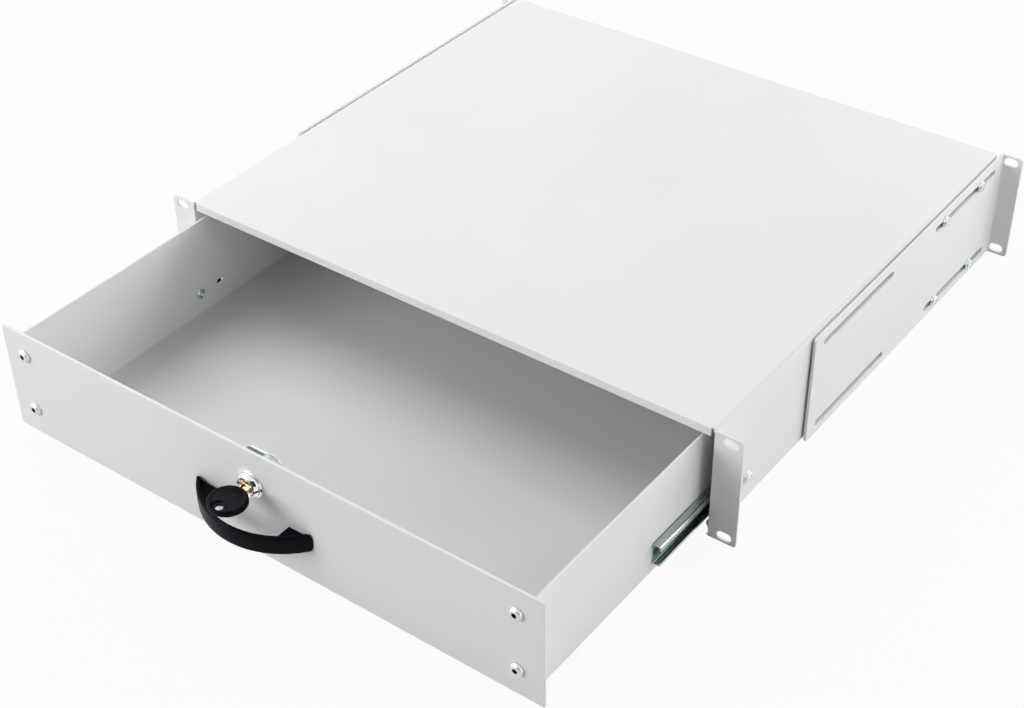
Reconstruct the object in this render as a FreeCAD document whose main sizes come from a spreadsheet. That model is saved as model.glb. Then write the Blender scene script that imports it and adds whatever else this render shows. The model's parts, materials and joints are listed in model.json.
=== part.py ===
import FreeCAD, Part
import os
import Sketcher

# A sliding drawer, two units high, for a 19-inch rack. A folded sheet casing with rack ears
# holds a tray on two ball-bearing slides. The tray carries a front panel with a cam lock and a
# bow handle, and two slotted brackets at the back reach the rear posts of the rack.
#
# Frame: X to the right, Y to the rear, Z up, in millimetres. The origin is the centre of the
# four front ear slots, on the ears' rear face. The drawer is drawn partly pulled out.

os.makedirs("parts", exist_ok=True)
Vector = FreeCAD.Vector
doc = FreeCAD.newDocument("rack_drawer")
sheet = doc.addObject("Spreadsheet::Sheet", "Sizes")
doc.recompute()

SIZES = {
    # casing
    "casing_width": 444.5,
    "casing_height": 88,
    "casing_depth": 396.5,
    "casing_sheet": 1.5,
    "casing_bend": 1.2,
    "front_lip": 6,
    "relief_gap": 3,
    "bottom_lip": 9,
    "bottom_lip_start": 3,
    "bottom_lip_round": 6,
    "ear_wide": 19.05,
    "ear_short": 0.8,
    "ear_round": 2.5,
    "ear_slot_out": 10.3,
    "ear_slot_in": 5.1,
    "ear_slot_long": 11,
    "ear_slot_wide": 7,
    # how far the drawer stands out, and its gap to the ears when it is shut
    "pulled_out": 177.7,
    "shut_gap": 0.4,
    # front panel
    "panel_short": 0.25,
    "panel_low": 2,
    "panel_sheet": 2,
    "panel_edge": 0.5,
    "panel_screw_in": 7.3,
    "panel_screw_up": 45,
    "panel_screw_rise": 1.5,
    # tray
    "slide_space": 9.25,
    "lip_pass": 3,
    "rear_space": 18.9,
    "tray_sheet": 1.2,
    "tray_lift": 2.7,
    "tray_bend": 1.2,
    "tray_corner_gap": 1.2,
    # slides: channel on the tray, rail on the casing, ball cage between them
    "slide_rise": 20,
    "first_hole": 37.5,
    "channel_sheet": 1,
    "channel_bend": 1,
    "channel_end_gap": 2,
    "channel_long": 250,
    "lip_clear": 0.46,
    "mouth_clear": 0.35,
    "race_clear": 0.35,
    "rail_height": 9,
    "rail_sheet": 1,
    "rail_bend": 0.5,
    "rail_front": 5,
    "rail_long": 350,
    "groove_deep": 0.3,
    "groove_clear": 0.3,
    "cage_sheet": 0.5,
    "cage_clear": 0.35,
    "cage_edge": 0.4,
    "cage_long": 105,
    "ball_size": 2.38,
    "ball_clear": 0.15,
    "ball_in": 0.56,
    "adjust_slot_long": 7,
    "adjust_slot_wide": 3.6,
    "adjust_slot_back": 58.5,
    # rear brackets
    "bracket_sheet": 2,
    "bracket_bend": 1.5,
    "bracket_stand": 1.75,
    "bracket_past": 5.5,
    "bracket_long": 286.5,
    "bracket_slot_long": 98.5,
    "bracket_slot_side": 0.3,
    "bracket_slot_up": 69,
    "front_slot_in": 11.2,
    "rear_slot_in": 14,
    "bracket_screw_in": 34,
    "bracket_screw_pitch": 58,
    "bracket_clear": 0.1,
    # fasteners
    "screw_size": 4,
    "pan_head": 8,
    "pan_head_tall": 2.4,
    "pan_head_slant": 0.8,
    "washer_size": 9,
    "washer_thick": 0.8,
    "spacer_flats": 8,
    "rail_screw_past": 3,
    "clinch_nut_flats": 7,
    "clinch_nut_thick": 2,
    "rivet_head": 6,
    "rivet_head_tall": 1,
    "rivet_slant": 0.5,
    "panel_screw_size": 5,
    "button_head": 9.6,
    "button_head_tall": 2.8,
    "button_slant": 2.1,
    "socket_flats": 3,
    "socket_deep": 1.6,
    "panel_nut_flats": 8,
    "panel_nut_thick": 4,
    "panel_screw_past": 1,
    "hole_clear": 0.1,
    # lock and key
    "lock_rise": 16,
    "barrel_size": 18,
    "barrel_long": 20,
    "bezel_size": 20.4,
    "bezel_face": 16.4,
    "bezel_proud": 5,
    "bezel_step": 2.4,
    "plug_size": 13,
    "plug_proud": 4.6,
    "plug_clear": 0.08,
    "stem_flats": 7,
    "lock_nut_flats": 23,
    "lock_nut_thick": 4,
    "cam_sheet": 2,
    "cam_wide": 13,
    "cam_top_gap": 1.5,
    "cam_clear": 0.3,
    "cam_screw_in": 2,
    "cam_screw_head": 9,
    "keyway_clear": 0.3,
    "keyway_spare": 2,
    "key_wide": 7,
    "key_sheet": 1.6,
    "key_in": 15,
    "key_notch": 1.3,
    "key_notch_pitch": 2.6,
    "key_tip": 2,
    "bow_size": 26,
    "bow_thick": 4.6,
    "bow_edge": 1.4,
    "bow_out": 16,
    "bow_socket": 9,
    "ring_hole": 4.4,
    "ring_hole_out": 7.5,
    "keeper_wide": 40,
    "keeper_drop": 8.5,
    "keeper_long": 20,
    "keeper_play": 1,
    # handle
    "handle_span": 98,
    "handle_reach": 25.5,
    "handle_band": 3,
    "handle_height": 13.8,
    "handle_drop": 7.5,
    "handle_edge": 0.8,
    "foot_long": 20,
    "foot_height": 6,
    "foot_screw_in": 13,
    "foot_hole_deep": 9,
    "foot_hole_spare": 1,
}
BALLS_PER_ROW = 4
KEY_NOTCHES = 4
# A cut's outline runs this far past the solid that it cuts.
PAST = "1"

for row, (name, number) in enumerate(SIZES.items(), start=1):
    sheet.set(f"A{row}", name)
    sheet.set(f"B{row}", str(number))
    sheet.setAlias(f"B{row}", name)
doc.recompute()


def S(name):
    """The sheet's value of one size, as a term of an expression."""
    if name not in SIZES:
        raise KeyError(name)
    return f"Sizes.{name}"


# Places that several pieces share, as expressions of the sheet's sizes.
CASING_HALF = f"({S('casing_width')} / 2)"
CASING_IN = f"({CASING_HALF} - {S('casing_sheet')})"
CASING_TOP = f"({S('casing_height')} / 2)"
CASING_BOTTOM = f"(-{S('casing_height')} / 2)"
CASING_ROOF = f"({CASING_TOP} - {S('casing_sheet')})"
EAR_FRONT = f"(-{S('casing_sheet')})"
EAR_END = f"({CASING_HALF} + {S('ear_wide')})"
EAR_TOP = f"({CASING_TOP} - {S('ear_short')})"
EAR_SLOT_X = f"({CASING_HALF} + {S('ear_slot_out')})"
EAR_SLOT_UP = f"({EAR_TOP} - {S('ear_slot_in')})"
PANEL_BACK = f"({EAR_FRONT} - {S('shut_gap')} - {S('pulled_out')})"
PANEL_FRONT = f"({PANEL_BACK} - {S('panel_sheet')})"
TRAY_HALF = f"({CASING_IN} - {S('slide_space')})"
TRAY_IN = f"({TRAY_HALF} - {S('tray_sheet')})"
TRAY_BOTTOM = f"({CASING_BOTTOM} + {S('tray_lift')})"
TRAY_TOP = f"({CASING_TOP} - {S('front_lip')} - {S('lip_pass')})"
TRAY_WALL_BACK = f"({PANEL_BACK} + {S('tray_sheet')})"
TRAY_REAR = f"({S('casing_depth')} - {S('casing_sheet')} - {S('rear_space')} - {S('pulled_out')})"
PANEL_SCREW_X = f"({TRAY_IN} - {S('panel_screw_in')})"
SCREW_HOLE = f"({S('screw_size')} + 2 * {S('hole_clear')})"
NUT_BORE = f"({S('screw_size')} + {S('hole_clear')})"

# The slide, from the tray's side outwards: channel web, cage web, rail flanges, rail web.
SLIDE_UP = f"({CASING_BOTTOM} + {S('slide_rise')})"
BALL_RADIUS = f"({S('ball_size')} / 2)"
RAIL_UP = f"({S('rail_height')} / 2)"
BALL_UP = f"({RAIL_UP} - {S('groove_deep')} + {S('groove_clear')} + {BALL_RADIUS})"
RACE_UP = f"({BALL_UP} + {BALL_RADIUS} + {S('race_clear')})"
CHANNEL_UP = f"({RACE_UP} + {S('channel_sheet')})"
CHANNEL_WEB = f"({TRAY_HALF} + {S('channel_sheet')})"
CAGE_WEB = f"({CHANNEL_WEB} + {S('cage_clear')})"
CAGE_WEB_OUT = f"({CAGE_WEB} + {S('cage_sheet')})"
RAIL_TIP = f"({CAGE_WEB_OUT} + {S('cage_clear')})"
BALL_X = f"({CAGE_WEB_OUT} + {BALL_RADIUS} + {S('ball_in')})"
CAGE_EDGE = f"({BALL_X} + {BALL_RADIUS} + {S('ball_clear')} + {S('cage_edge')})"
CHANNEL_LIP = f"({CAGE_EDGE} + {S('lip_clear')})"
CHANNEL_MOUTH = f"({CHANNEL_LIP} + {S('channel_sheet')})"
CHANNEL_REAR = f"({TRAY_REAR} - {S('channel_end_gap')})"
CHANNEL_FRONT = f"({CHANNEL_REAR} - {S('channel_long')})"
CHANNEL_SCREWS = [
    f"({CHANNEL_FRONT} + {S('first_hole')})",
    f"({CHANNEL_REAR} - {S('first_hole')})",
]
ADJUST_SLOT = f"({CHANNEL_FRONT} + {S('adjust_slot_back')})"
RAIL_REAR = f"({S('rail_front')} + {S('rail_long')})"
RAIL_SCREW = f"({S('rail_front')} + {S('first_hole')})"
RAIL_RIVET = f"({RAIL_REAR} - {S('first_hole')})"
# The cage runs at half the drawer's speed, so it stays in the middle of their shared length.
CAGE_FRONT = f"(({S('rail_front')} + {CHANNEL_REAR} - {S('cage_long')}) / 2)"

BRACKET_IN = f"({CASING_HALF} + {S('bracket_stand')})"
BRACKET_OUT = f"({BRACKET_IN} + {S('bracket_sheet')})"
BRACKET_REAR = f"({S('casing_depth')} + {S('bracket_past')})"
BRACKET_FRONT = f"({BRACKET_REAR} - {S('bracket_long')})"
BRACKET_SLOTS = [
    f"({BRACKET_FRONT} + {S('front_slot_in')} + {S('bracket_slot_long')} / 2)",
    f"({BRACKET_REAR} - {S('rear_slot_in')} - {S('bracket_slot_long')} / 2)",
]
BRACKET_SCREWS = [
    f"({S('casing_depth')} - {S('bracket_screw_in')} - {S('bracket_screw_pitch')})",
    f"({S('casing_depth')} - {S('bracket_screw_in')})",
]

BARREL_END = f"({PANEL_FRONT} + {S('barrel_long')})"
CAM_FRONT = f"({BARREL_END} + {S('cam_clear')})"
CAM_BACK = f"({CAM_FRONT} + {S('cam_sheet')})"
KEEPER_BACK = f"({CAM_FRONT} + {S('pulled_out')} - {S('keeper_play')})"
KEEPER_UNDER = f"({CASING_ROOF} - {S('casing_sheet')})"
CAM_REACH = f"({KEEPER_UNDER} - {S('cam_top_gap')} - {S('lock_rise')} - {S('cam_wide')} / 2)"
PLUG_FACE = f"({PANEL_FRONT} - {S('plug_proud')})"
BOW_CENTRE = f"({PLUG_FACE} - {S('bow_out')})"
BOW_INNER = f"({BOW_CENTRE} + {S('bow_size')} / 2)"
HANDLE_UP = f"(-{S('handle_drop')})"
HANDLE_HALF = f"({S('handle_span')} / 2)"
FOOT_SCREW_X = f"({HANDLE_HALF} - {S('foot_screw_in')})"


def number(expression):
    """The present value of an expression."""
    value = sheet.evalExpression(expression)
    return float(getattr(value, "Value", value))


# ---- sketches and features -------------------------------------------------------------------

def new_body(label):
    body = doc.addObject("PartDesign::Body", label)
    body.Label = label
    return body


def new_sketch(body, role, offset="0"):
    """A sketch on one of the body's own origin planes, moved along the plane's normal."""
    sketch = body.newObject("Sketcher::SketchObject", f"{body.Name}_sketch")
    plane = next(item for item in body.Origin.OriginFeatures if item.Role == role)
    sketch.AttachmentSupport = [(plane, "")]
    sketch.MapMode = "FlatFace"
    sketch.setExpression("AttachmentOffset.Base.z", offset)
    return sketch


def bind(sketch, kind, expression, *where):
    """A dimension of the sketch, tied to an expression."""
    index = sketch.addConstraint(Sketcher.Constraint(kind, *where, number(expression)))
    sketch.setExpression(f"Constraints[{index}]", expression)


def pin(sketch, item, point, x, y):
    """Place one point of a sketch item from the sketch's own origin."""
    bind(sketch, "DistanceX", x, -1, 1, item, point)
    bind(sketch, "DistanceY", y, -1, 1, item, point)


def at(x, y):
    return Vector(number(x), number(y), 0)


def outline(sketch, corners):
    """A closed outline. A corner is (x, y), or (x, y, radius) where two square sides meet."""
    ends = []
    count = len(corners)
    for index, corner in enumerate(corners):
        x, y = corner[0], corner[1]
        if len(corner) == 2:
            ends.append(((x, y), (x, y), None))
            continue
        here = at(x, y)
        steps = []
        for other in (corners[index - 1], corners[(index + 1) % count]):
            way = at(other[0], other[1]) - here
            sign = "+" if way.x + way.y > 0 else "-"
            moved = f"{x} {sign} {corner[2]}", y
            if abs(way.y) > abs(way.x):
                moved = x, f"{y} {sign} {corner[2]}"
            steps.append(moved)
        ends.append((steps[0], steps[1], corner[2]))
    lines = []
    for index in range(count):
        start = ends[index][1]
        stop = ends[(index + 1) % count][0]
        line = sketch.addGeometry(Part.LineSegment(at(*start), at(*stop)))
        pin(sketch, line, 1, *start)
        pin(sketch, line, 2, *stop)
        lines.append(line)
    for index, (before, after, radius) in enumerate(ends):
        if radius is None:
            continue
        first, last = at(*before), at(*after)
        corner = at(corners[index][0], corners[index][1])
        centre = first + last - corner
        bulge = centre + (corner - centre).normalize() * number(radius)
        arc = sketch.addGeometry(Part.Arc(first, bulge, last))
        ccw = (first - centre).cross(last - centre).z > 0
        sketch.addConstraint(Sketcher.Constraint("Coincident", arc, 1 if ccw else 2, lines[index - 1], 2))
        sketch.addConstraint(Sketcher.Constraint("Coincident", arc, 2 if ccw else 1, lines[index], 1))
        bind(sketch, "Radius", radius, arc)


def box(sketch, left, bottom, right, top, radius=None):
    points = [(left, bottom), (right, bottom), (right, top), (left, top)]
    if radius:
        points = [point + (radius,) for point in points]
    outline(sketch, points)


def circle(sketch, x, y, size):
    """A circle by its centre and its diameter."""
    item = sketch.addGeometry(Part.Circle(at(x, y), Vector(0, 0, 1), number(size) / 2))
    pin(sketch, item, 3, x, y)
    bind(sketch, "Diameter", size, item)


def slot(sketch, x, y, long, wide):
    """A slot with round ends that runs along the sketch's first axis."""
    half = f"(({long}) - ({wide})) / 2"
    rise = f"({wide}) / 2"
    low = (f"{x} - {half}", f"{y} - {rise}"), (f"{x} + {half}", f"{y} - {rise}")
    high = (f"{x} + {half}", f"{y} + {rise}"), (f"{x} - {half}", f"{y} + {rise}")
    sides = []
    for start, stop in (low, high):
        line = sketch.addGeometry(Part.LineSegment(at(*start), at(*stop)))
        pin(sketch, line, 1, *start)
        pin(sketch, line, 2, *stop)
        sides.append(line)
    for side, sign in ((0, "+"), (1, "-")):
        first, last = (low[1], high[0]) if side == 0 else (high[1], low[0])
        tip = at(f"{x} {sign} ({long}) / 2", y)
        arc = sketch.addGeometry(Part.Arc(at(*first), tip, at(*last)))
        sketch.addConstraint(Sketcher.Constraint("Coincident", arc, 1, sides[side], 2))
        sketch.addConstraint(Sketcher.Constraint("Coincident", arc, 2, sides[1 - side], 1))
        bind(sketch, "DistanceX", f"{x} {sign} {half}", -1, 1, arc, 3)


def hexagon(sketch, x, y, flats):
    """A hexagon with a corner on the first axis, by its size across flats."""
    radius = f"({flats}) / 2 / cos(30 deg)"
    points = []
    for turn in range(0, 360, 60):
        points.append((f"{x} + {radius} * cos({turn} deg)", f"{y} + {radius} * sin({turn} deg)"))
    outline(sketch, points)


def extrude(body, role, start, stop, draw, cut=False):
    """Pad or pocket a drawn outline between two places on the axis across its plane."""
    flip = role == "XZ_Plane"
    before = body.Shape.Volume if cut else 0
    sketch = new_sketch(body, role, f"-({stop})" if flip else start)
    draw(sketch)
    feature = body.newObject("PartDesign::Pocket" if cut else "PartDesign::Pad", f"{body.Name}_step")
    feature.Profile = sketch
    feature.setExpression("Length", f"({stop}) - ({start})")
    feature.Reversed = cut
    doc.recompute()
    if cut and not body.Shape.Volume < before - 1e-6:
        raise RuntimeError(f"{body.Label}: a pocket removes nothing")
    return feature


def cut(body, role, start, stop, draw):
    return extrude(body, role, start, stop, draw, cut=True)


def revolve(body, role, draw, axis):
    """Turn a drawn half outline about the sketch's H_Axis or V_Axis."""
    sketch = new_sketch(body, role)
    draw(sketch)
    feature = body.newObject("PartDesign::Revolution", f"{body.Name}_turn")
    feature.Profile = sketch
    feature.ReferenceAxis = (sketch, [axis])
    feature.Angle = 360
    doc.recompute()
    return feature


def round_edges(body, radius, wanted, flat=False):
    """Round, or break flat, the edges of the body's last feature that the test picks."""
    base = body.Tip
    names = []
    for index, edge in enumerate(base.Shape.Edges, start=1):
        if wanted(edge):
            names.append(f"Edge{index}")
    if not names:
        raise RuntimeError(f"{body.Label}: no edge to round")
    kind, size = ("Chamfer", "Size") if flat else ("Fillet", "Radius")
    edge = body.newObject(f"PartDesign::{kind}", f"{body.Name}_edge")
    edge.Base = (base, names)
    edge.setExpression(size, radius)
    doc.recompute()


def runs_along(edge, axis):
    """True where an edge's ends lie along one axis, which picks the straight edges here."""
    way = edge.Vertexes[-1].Point - edge.Vertexes[0].Point
    return way.Length > 1e-6 and abs(abs(getattr(way, axis)) - way.Length) < 1e-6


def near(value, expression):
    return abs(value - number(expression)) < 1e-4


# ---- pieces that are kept --------------------------------------------------------------------

kept = []


def keep(item):
    kept.append(item)
    return item


def mirrored(source, label):
    """The other-handed twin of a right-hand piece."""
    twin = doc.addObject("Part::Mirroring", label)
    twin.Label = label
    twin.Source = source
    twin.Normal = Vector(1, 0, 0)
    twin.Base = Vector(0, 0, 0)
    return keep(twin)


def copies(label, master, places):
    """One node of equal loose solids: copies of the master at (x, y, z, turn about Z)."""
    links = []
    for x, y, z, turn in places:
        link = doc.addObject("App::Link", f"{label}_copy")
        link.LinkedObject = master
        link.Placement = FreeCAD.Placement(Vector(), FreeCAD.Rotation(Vector(0, 0, 1), turn))
        for axis, expression in zip("xyz", (x, y, z)):
            link.setExpression(f"Placement.Base.{axis}", expression)
        links.append(link)
    group = doc.addObject("Part::Compound", label)
    group.Label = label
    group.Links = links
    return keep(group)


def both_sides(x, rows):
    """Places at x on the right and, turned half round, at -x on the left."""
    places = []
    for y, z in rows:
        places.append((x, y, z, 0))
        places.append((f"-({x})", y, z, 180))
    return places


# ---- casing ----------------------------------------------------------------------------------

def ear_slots(sketch, side):
    """The two level slots of one rack ear; the front and rear ears share them."""
    for rise in ("", "-"):
        slot(sketch, f"{side}{EAR_SLOT_X}", f"{rise}{EAR_SLOT_UP}",
             S("ear_slot_long"), S("ear_slot_wide"))


def casing_shell():
    body = new_body("casing_shell")
    inner = S("casing_bend")
    outer = f"({inner} + {S('casing_sheet')})"
    floor = f"({CASING_BOTTOM} + {S('casing_sheet')})"
    lip = f"({CASING_HALF} - {S('bottom_lip')})"

    def section(sketch):
        outline(sketch, [
            (lip, CASING_BOTTOM),
            (CASING_HALF, CASING_BOTTOM, outer),
            (CASING_HALF, CASING_TOP, outer),
            (f"-{CASING_HALF}", CASING_TOP, outer),
            (f"-{CASING_HALF}", CASING_BOTTOM, outer),
            (f"-{lip}", CASING_BOTTOM),
            (f"-{lip}", floor),
            (f"-{CASING_IN}", floor, inner),
            (f"-{CASING_IN}", CASING_ROOF, inner),
            (CASING_IN, CASING_ROOF, inner),
            (CASING_IN, floor, inner),
            (lip, floor),
        ])

    extrude(body, "XZ_Plane", EAR_FRONT, S("casing_depth"), section)

    # The bottom lips start behind the ears, with a round front corner.
    def lip_front(side):
        def draw(sketch):
            start = S("bottom_lip_start")
            radius = S("bottom_lip_round")
            points = [
                (f"{side}({CASING_HALF} + {PAST})", f"{EAR_FRONT} - {PAST}"),
                (f"{side}({CASING_HALF} + {PAST})", start),
                (f"{side}({lip} + {radius})", start),
                (f"{side}{lip}", f"{start} + {radius}"),
                (f"{side}({lip} - {PAST})", f"{start} + {radius}"),
                (f"{side}({lip} - {PAST})", f"{EAR_FRONT} - {PAST}"),
            ]
            outline(sketch, points)
        return draw

    for side in ("", "-"):
        cut(body, "XY_Plane", f"{CASING_BOTTOM} - {PAST}", floor, lip_front(side))

    # The top's front lip, turned down between two relief gaps.
    lip_end = f"({CASING_IN} - {S('relief_gap')})"
    lip_low = f"({CASING_TOP} - {S('front_lip')})"
    extrude(body, "XZ_Plane", EAR_FRONT, "0", lambda sketch: box(
        sketch, f"-{lip_end}", lip_low, lip_end, CASING_TOP))
    for side in ("", "-"):
        cut(body, "XZ_Plane", f"{EAR_FRONT} - {PAST}", "0", lambda sketch: box(
            sketch, f"{side}{lip_end}", CASING_ROOF, f"{side}{CASING_IN}", f"{CASING_TOP} + {PAST}"))

    # The rear wall, turned down from the top.
    wall_end = f"({CASING_IN} - {S('hole_clear')})"
    wall_low = f"({CASING_BOTTOM} + {S('relief_gap')})"
    extrude(body, "XZ_Plane", f"{S('casing_depth')} - {S('casing_sheet')}", S("casing_depth"),
            lambda sketch: box(sketch, f"-{wall_end}", wall_low, wall_end, CASING_TOP))

    # The rack ears, turned out from the side walls, each with two slots.
    for side in ("", "-"):
        extrude(body, "XZ_Plane", EAR_FRONT, "0", lambda sketch: box(
            sketch, f"{side}{CASING_IN}", f"-{EAR_TOP}", f"{side}{EAR_END}", EAR_TOP))
    round_edges(body, S("ear_round"), lambda edge: runs_along(edge, "y")
                and near(abs(edge.CenterOfMass.x), EAR_END) and near(abs(edge.CenterOfMass.z), EAR_TOP))
    for side in ("", "-"):
        cut(body, "XZ_Plane", f"{EAR_FRONT} - {PAST}", PAST,
            lambda sketch: ear_slots(sketch, side))
    round_edges(body, S("casing_bend"), lambda edge: near(abs(edge.CenterOfMass.x), CASING_HALF)
                and near(edge.CenterOfMass.y, "0") and runs_along(edge, "z")
                and edge.Length > number(CASING_TOP))

    # Holes in the side walls for the rail screws, the rivets and the bracket's clinch nuts.
    def side_holes(sketch):
        for place in (RAIL_SCREW, RAIL_RIVET):
            circle(sketch, place, SLIDE_UP, SCREW_HOLE)
        for place in BRACKET_SCREWS:
            for rise in ("", "-"):
                circle(sketch, place, f"{rise}{S('bracket_slot_up')} / 2", SCREW_HOLE)

    cut(body, "YZ_Plane", f"{CASING_IN} - {PAST}", f"{CASING_HALF} + {PAST}", side_holes)
    cut(body, "YZ_Plane", f"-{CASING_HALF} - {PAST}", f"-{CASING_IN} + {PAST}", side_holes)
    return keep(body)


def lock_keeper():
    """The angle under the casing's top that the lock's cam turns up behind."""
    body = new_body("lock_keeper")
    front = f"({KEEPER_BACK} - {S('casing_sheet')})"
    half = f"({S('keeper_wide')} / 2)"
    low = f"({CASING_ROOF} - {S('keeper_drop')})"
    inner = S("casing_bend")
    extrude(body, "YZ_Plane", f"-{half}", half, lambda sketch: outline(sketch, [
        (front, low),
        (KEEPER_BACK, low),
        (KEEPER_BACK, KEEPER_UNDER, inner),
        (f"({front} + {S('keeper_long')})", KEEPER_UNDER),
        (f"({front} + {S('keeper_long')})", CASING_ROOF),
        (front, CASING_ROOF, f"({inner} + {S('casing_sheet')})"),
    ]))
    return keep(body)


# ---- slides ----------------------------------------------------------------------------------

def mirrored_section(sketch, half):
    """An outline that is the same above and below the slide's centre line."""
    upper = [(item[0], f"{SLIDE_UP} + {item[1]}") + item[2:] for item in half]
    lower = [(item[0], f"{SLIDE_UP} - {item[1]}") + item[2:] for item in reversed(half)]
    outline(sketch, upper + lower)


def channel_right():
    """The rolled channel on the tray's side. Its mouth opens towards the casing."""
    body = new_body("channel_right")
    lip = f"({RAIL_UP} + {S('mouth_clear')})"
    inner = S("channel_bend")
    outer = f"({inner} + {S('channel_sheet')})"
    extrude(body, "XZ_Plane", CHANNEL_FRONT, CHANNEL_REAR, lambda sketch: mirrored_section(sketch, [
        (TRAY_HALF, CHANNEL_UP, outer),
        (CHANNEL_MOUTH, CHANNEL_UP, outer),
        (CHANNEL_MOUTH, lip),
        (CHANNEL_LIP, lip),
        (CHANNEL_LIP, RACE_UP, inner),
        (CHANNEL_WEB, RACE_UP, inner),
    ]))
    cut(body, "YZ_Plane", f"{TRAY_HALF} - {PAST}", f"{CHANNEL_WEB} + {PAST}", channel_holes)
    return keep(body)


def channel_holes(sketch):
    """The holes that the channel and the tray's side wall share."""
    for place in CHANNEL_SCREWS:
        circle(sketch, place, SLIDE_UP, SCREW_HOLE)
    slot(sketch, ADJUST_SLOT, SLIDE_UP, S("adjust_slot_long"), S("adjust_slot_wide"))


def rail_right():
    """The U-shaped rail on the casing's side, with a ball groove along each flange."""
    body = new_body("rail_right")
    low = f"({RAIL_UP} - {S('rail_sheet')})"
    web = f"({CASING_IN} - {S('rail_sheet')})"
    inner = S("rail_bend")
    outer = f"({inner} + {S('rail_sheet')})"
    extrude(body, "XZ_Plane", S("rail_front"), RAIL_REAR, lambda sketch: mirrored_section(sketch, [
        (CASING_IN, RAIL_UP, outer),
        (RAIL_TIP, RAIL_UP),
        (RAIL_TIP, low),
        (web, low, inner),
    ]))

    def grooves(sketch):
        for sign in "+-":
            circle(sketch, BALL_X, f"{SLIDE_UP} {sign} {BALL_UP}",
                   f"({S('ball_size')} + 2 * {S('groove_clear')})")

    cut(body, "XZ_Plane", f"{S('rail_front')} - {PAST}", f"{RAIL_REAR} + {PAST}", grooves)

    def holes(sketch):
        for place in (RAIL_SCREW, RAIL_RIVET):
            circle(sketch, place, SLIDE_UP, SCREW_HOLE)

    cut(body, "YZ_Plane", f"{web} - {PAST}", f"{CASING_IN} + {PAST}", holes)
    return keep(body)


def ball_places():
    """Y places of the balls of one row, evenly along the cage."""
    step = f"{S('cage_long')} / {BALLS_PER_ROW}"
    return [f"({CAGE_FRONT} + {step} * {index + 0.5})" for index in range(BALLS_PER_ROW)]


def cage_right():
    """The thin U-shaped cage whose wings hold the balls between channel and rail."""
    body = new_body("cage_right")
    out = f"({BALL_UP} + {S('cage_sheet')} / 2)"
    inside = f"({BALL_UP} - {S('cage_sheet')} / 2)"
    rear = f"({CAGE_FRONT} + {S('cage_long')})"
    extrude(body, "XZ_Plane", CAGE_FRONT, rear, lambda sketch: mirrored_section(sketch, [
        (CAGE_WEB, out),
        (CAGE_EDGE, out),
        (CAGE_EDGE, inside),
        (CAGE_WEB_OUT, inside),
    ]))
    sketch = new_sketch(body, "XY_Plane", f"{SLIDE_UP} - {out} - {PAST}")
    first = ball_places()[0]
    pocket_size = f"({S('ball_size')} + 2 * {S('ball_clear')})"
    circle(sketch, BALL_X, first, pocket_size)
    pocket = body.newObject("PartDesign::Pocket", "ball_pocket")
    pocket.Profile = sketch
    pocket.setExpression("Length", f"2 * ({out} + {PAST})")
    pocket.Reversed = True
    doc.recompute()
    row = body.newObject("PartDesign::LinearPattern", "ball_pockets")
    row.Originals = [pocket]
    row.Direction = (sketch, ["V_Axis"])
    row.setExpression("Length", f"{S('cage_long')} * {BALLS_PER_ROW - 1} / {BALLS_PER_ROW}")
    row.Occurrences = BALLS_PER_ROW
    body.Tip = row
    doc.recompute()
    return keep(body)


def slides():
    mirrored(channel_right(), "channel_left")
    mirrored(rail_right(), "rail_left")
    mirrored(cage_right(), "cage_left")
    ball = doc.addObject("Part::Sphere", "ball_form")
    ball.setExpression("Radius", f"{S('ball_size')} / 2")
    for label, side in (("balls_right", ""), ("balls_left", "-")):
        places = []
        for y in ball_places():
            for sign in "+-":
                places.append((f"{side}{BALL_X}", y, f"{SLIDE_UP} {sign} {BALL_UP}", 0))
        copies(label, ball, places)


# ---- tray, panel and handle ------------------------------------------------------------------

def front_holes(sketch):
    """The holes that the panel and the tray's front wall share."""
    for side in ("", "-"):
        for sign in "+-":
            circle(sketch, f"{side}{PANEL_SCREW_X}",
                   f"{S('panel_screw_rise')} {sign} {S('panel_screw_up')} / 2",
                   f"({S('panel_screw_size')} + 2 * {S('hole_clear')})")
        circle(sketch, f"{side}{FOOT_SCREW_X}", HANDLE_UP, SCREW_HOLE)
    circle(sketch, "0", S("lock_rise"), f"({S('barrel_size')} + 2 * {S('hole_clear')})")


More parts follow.
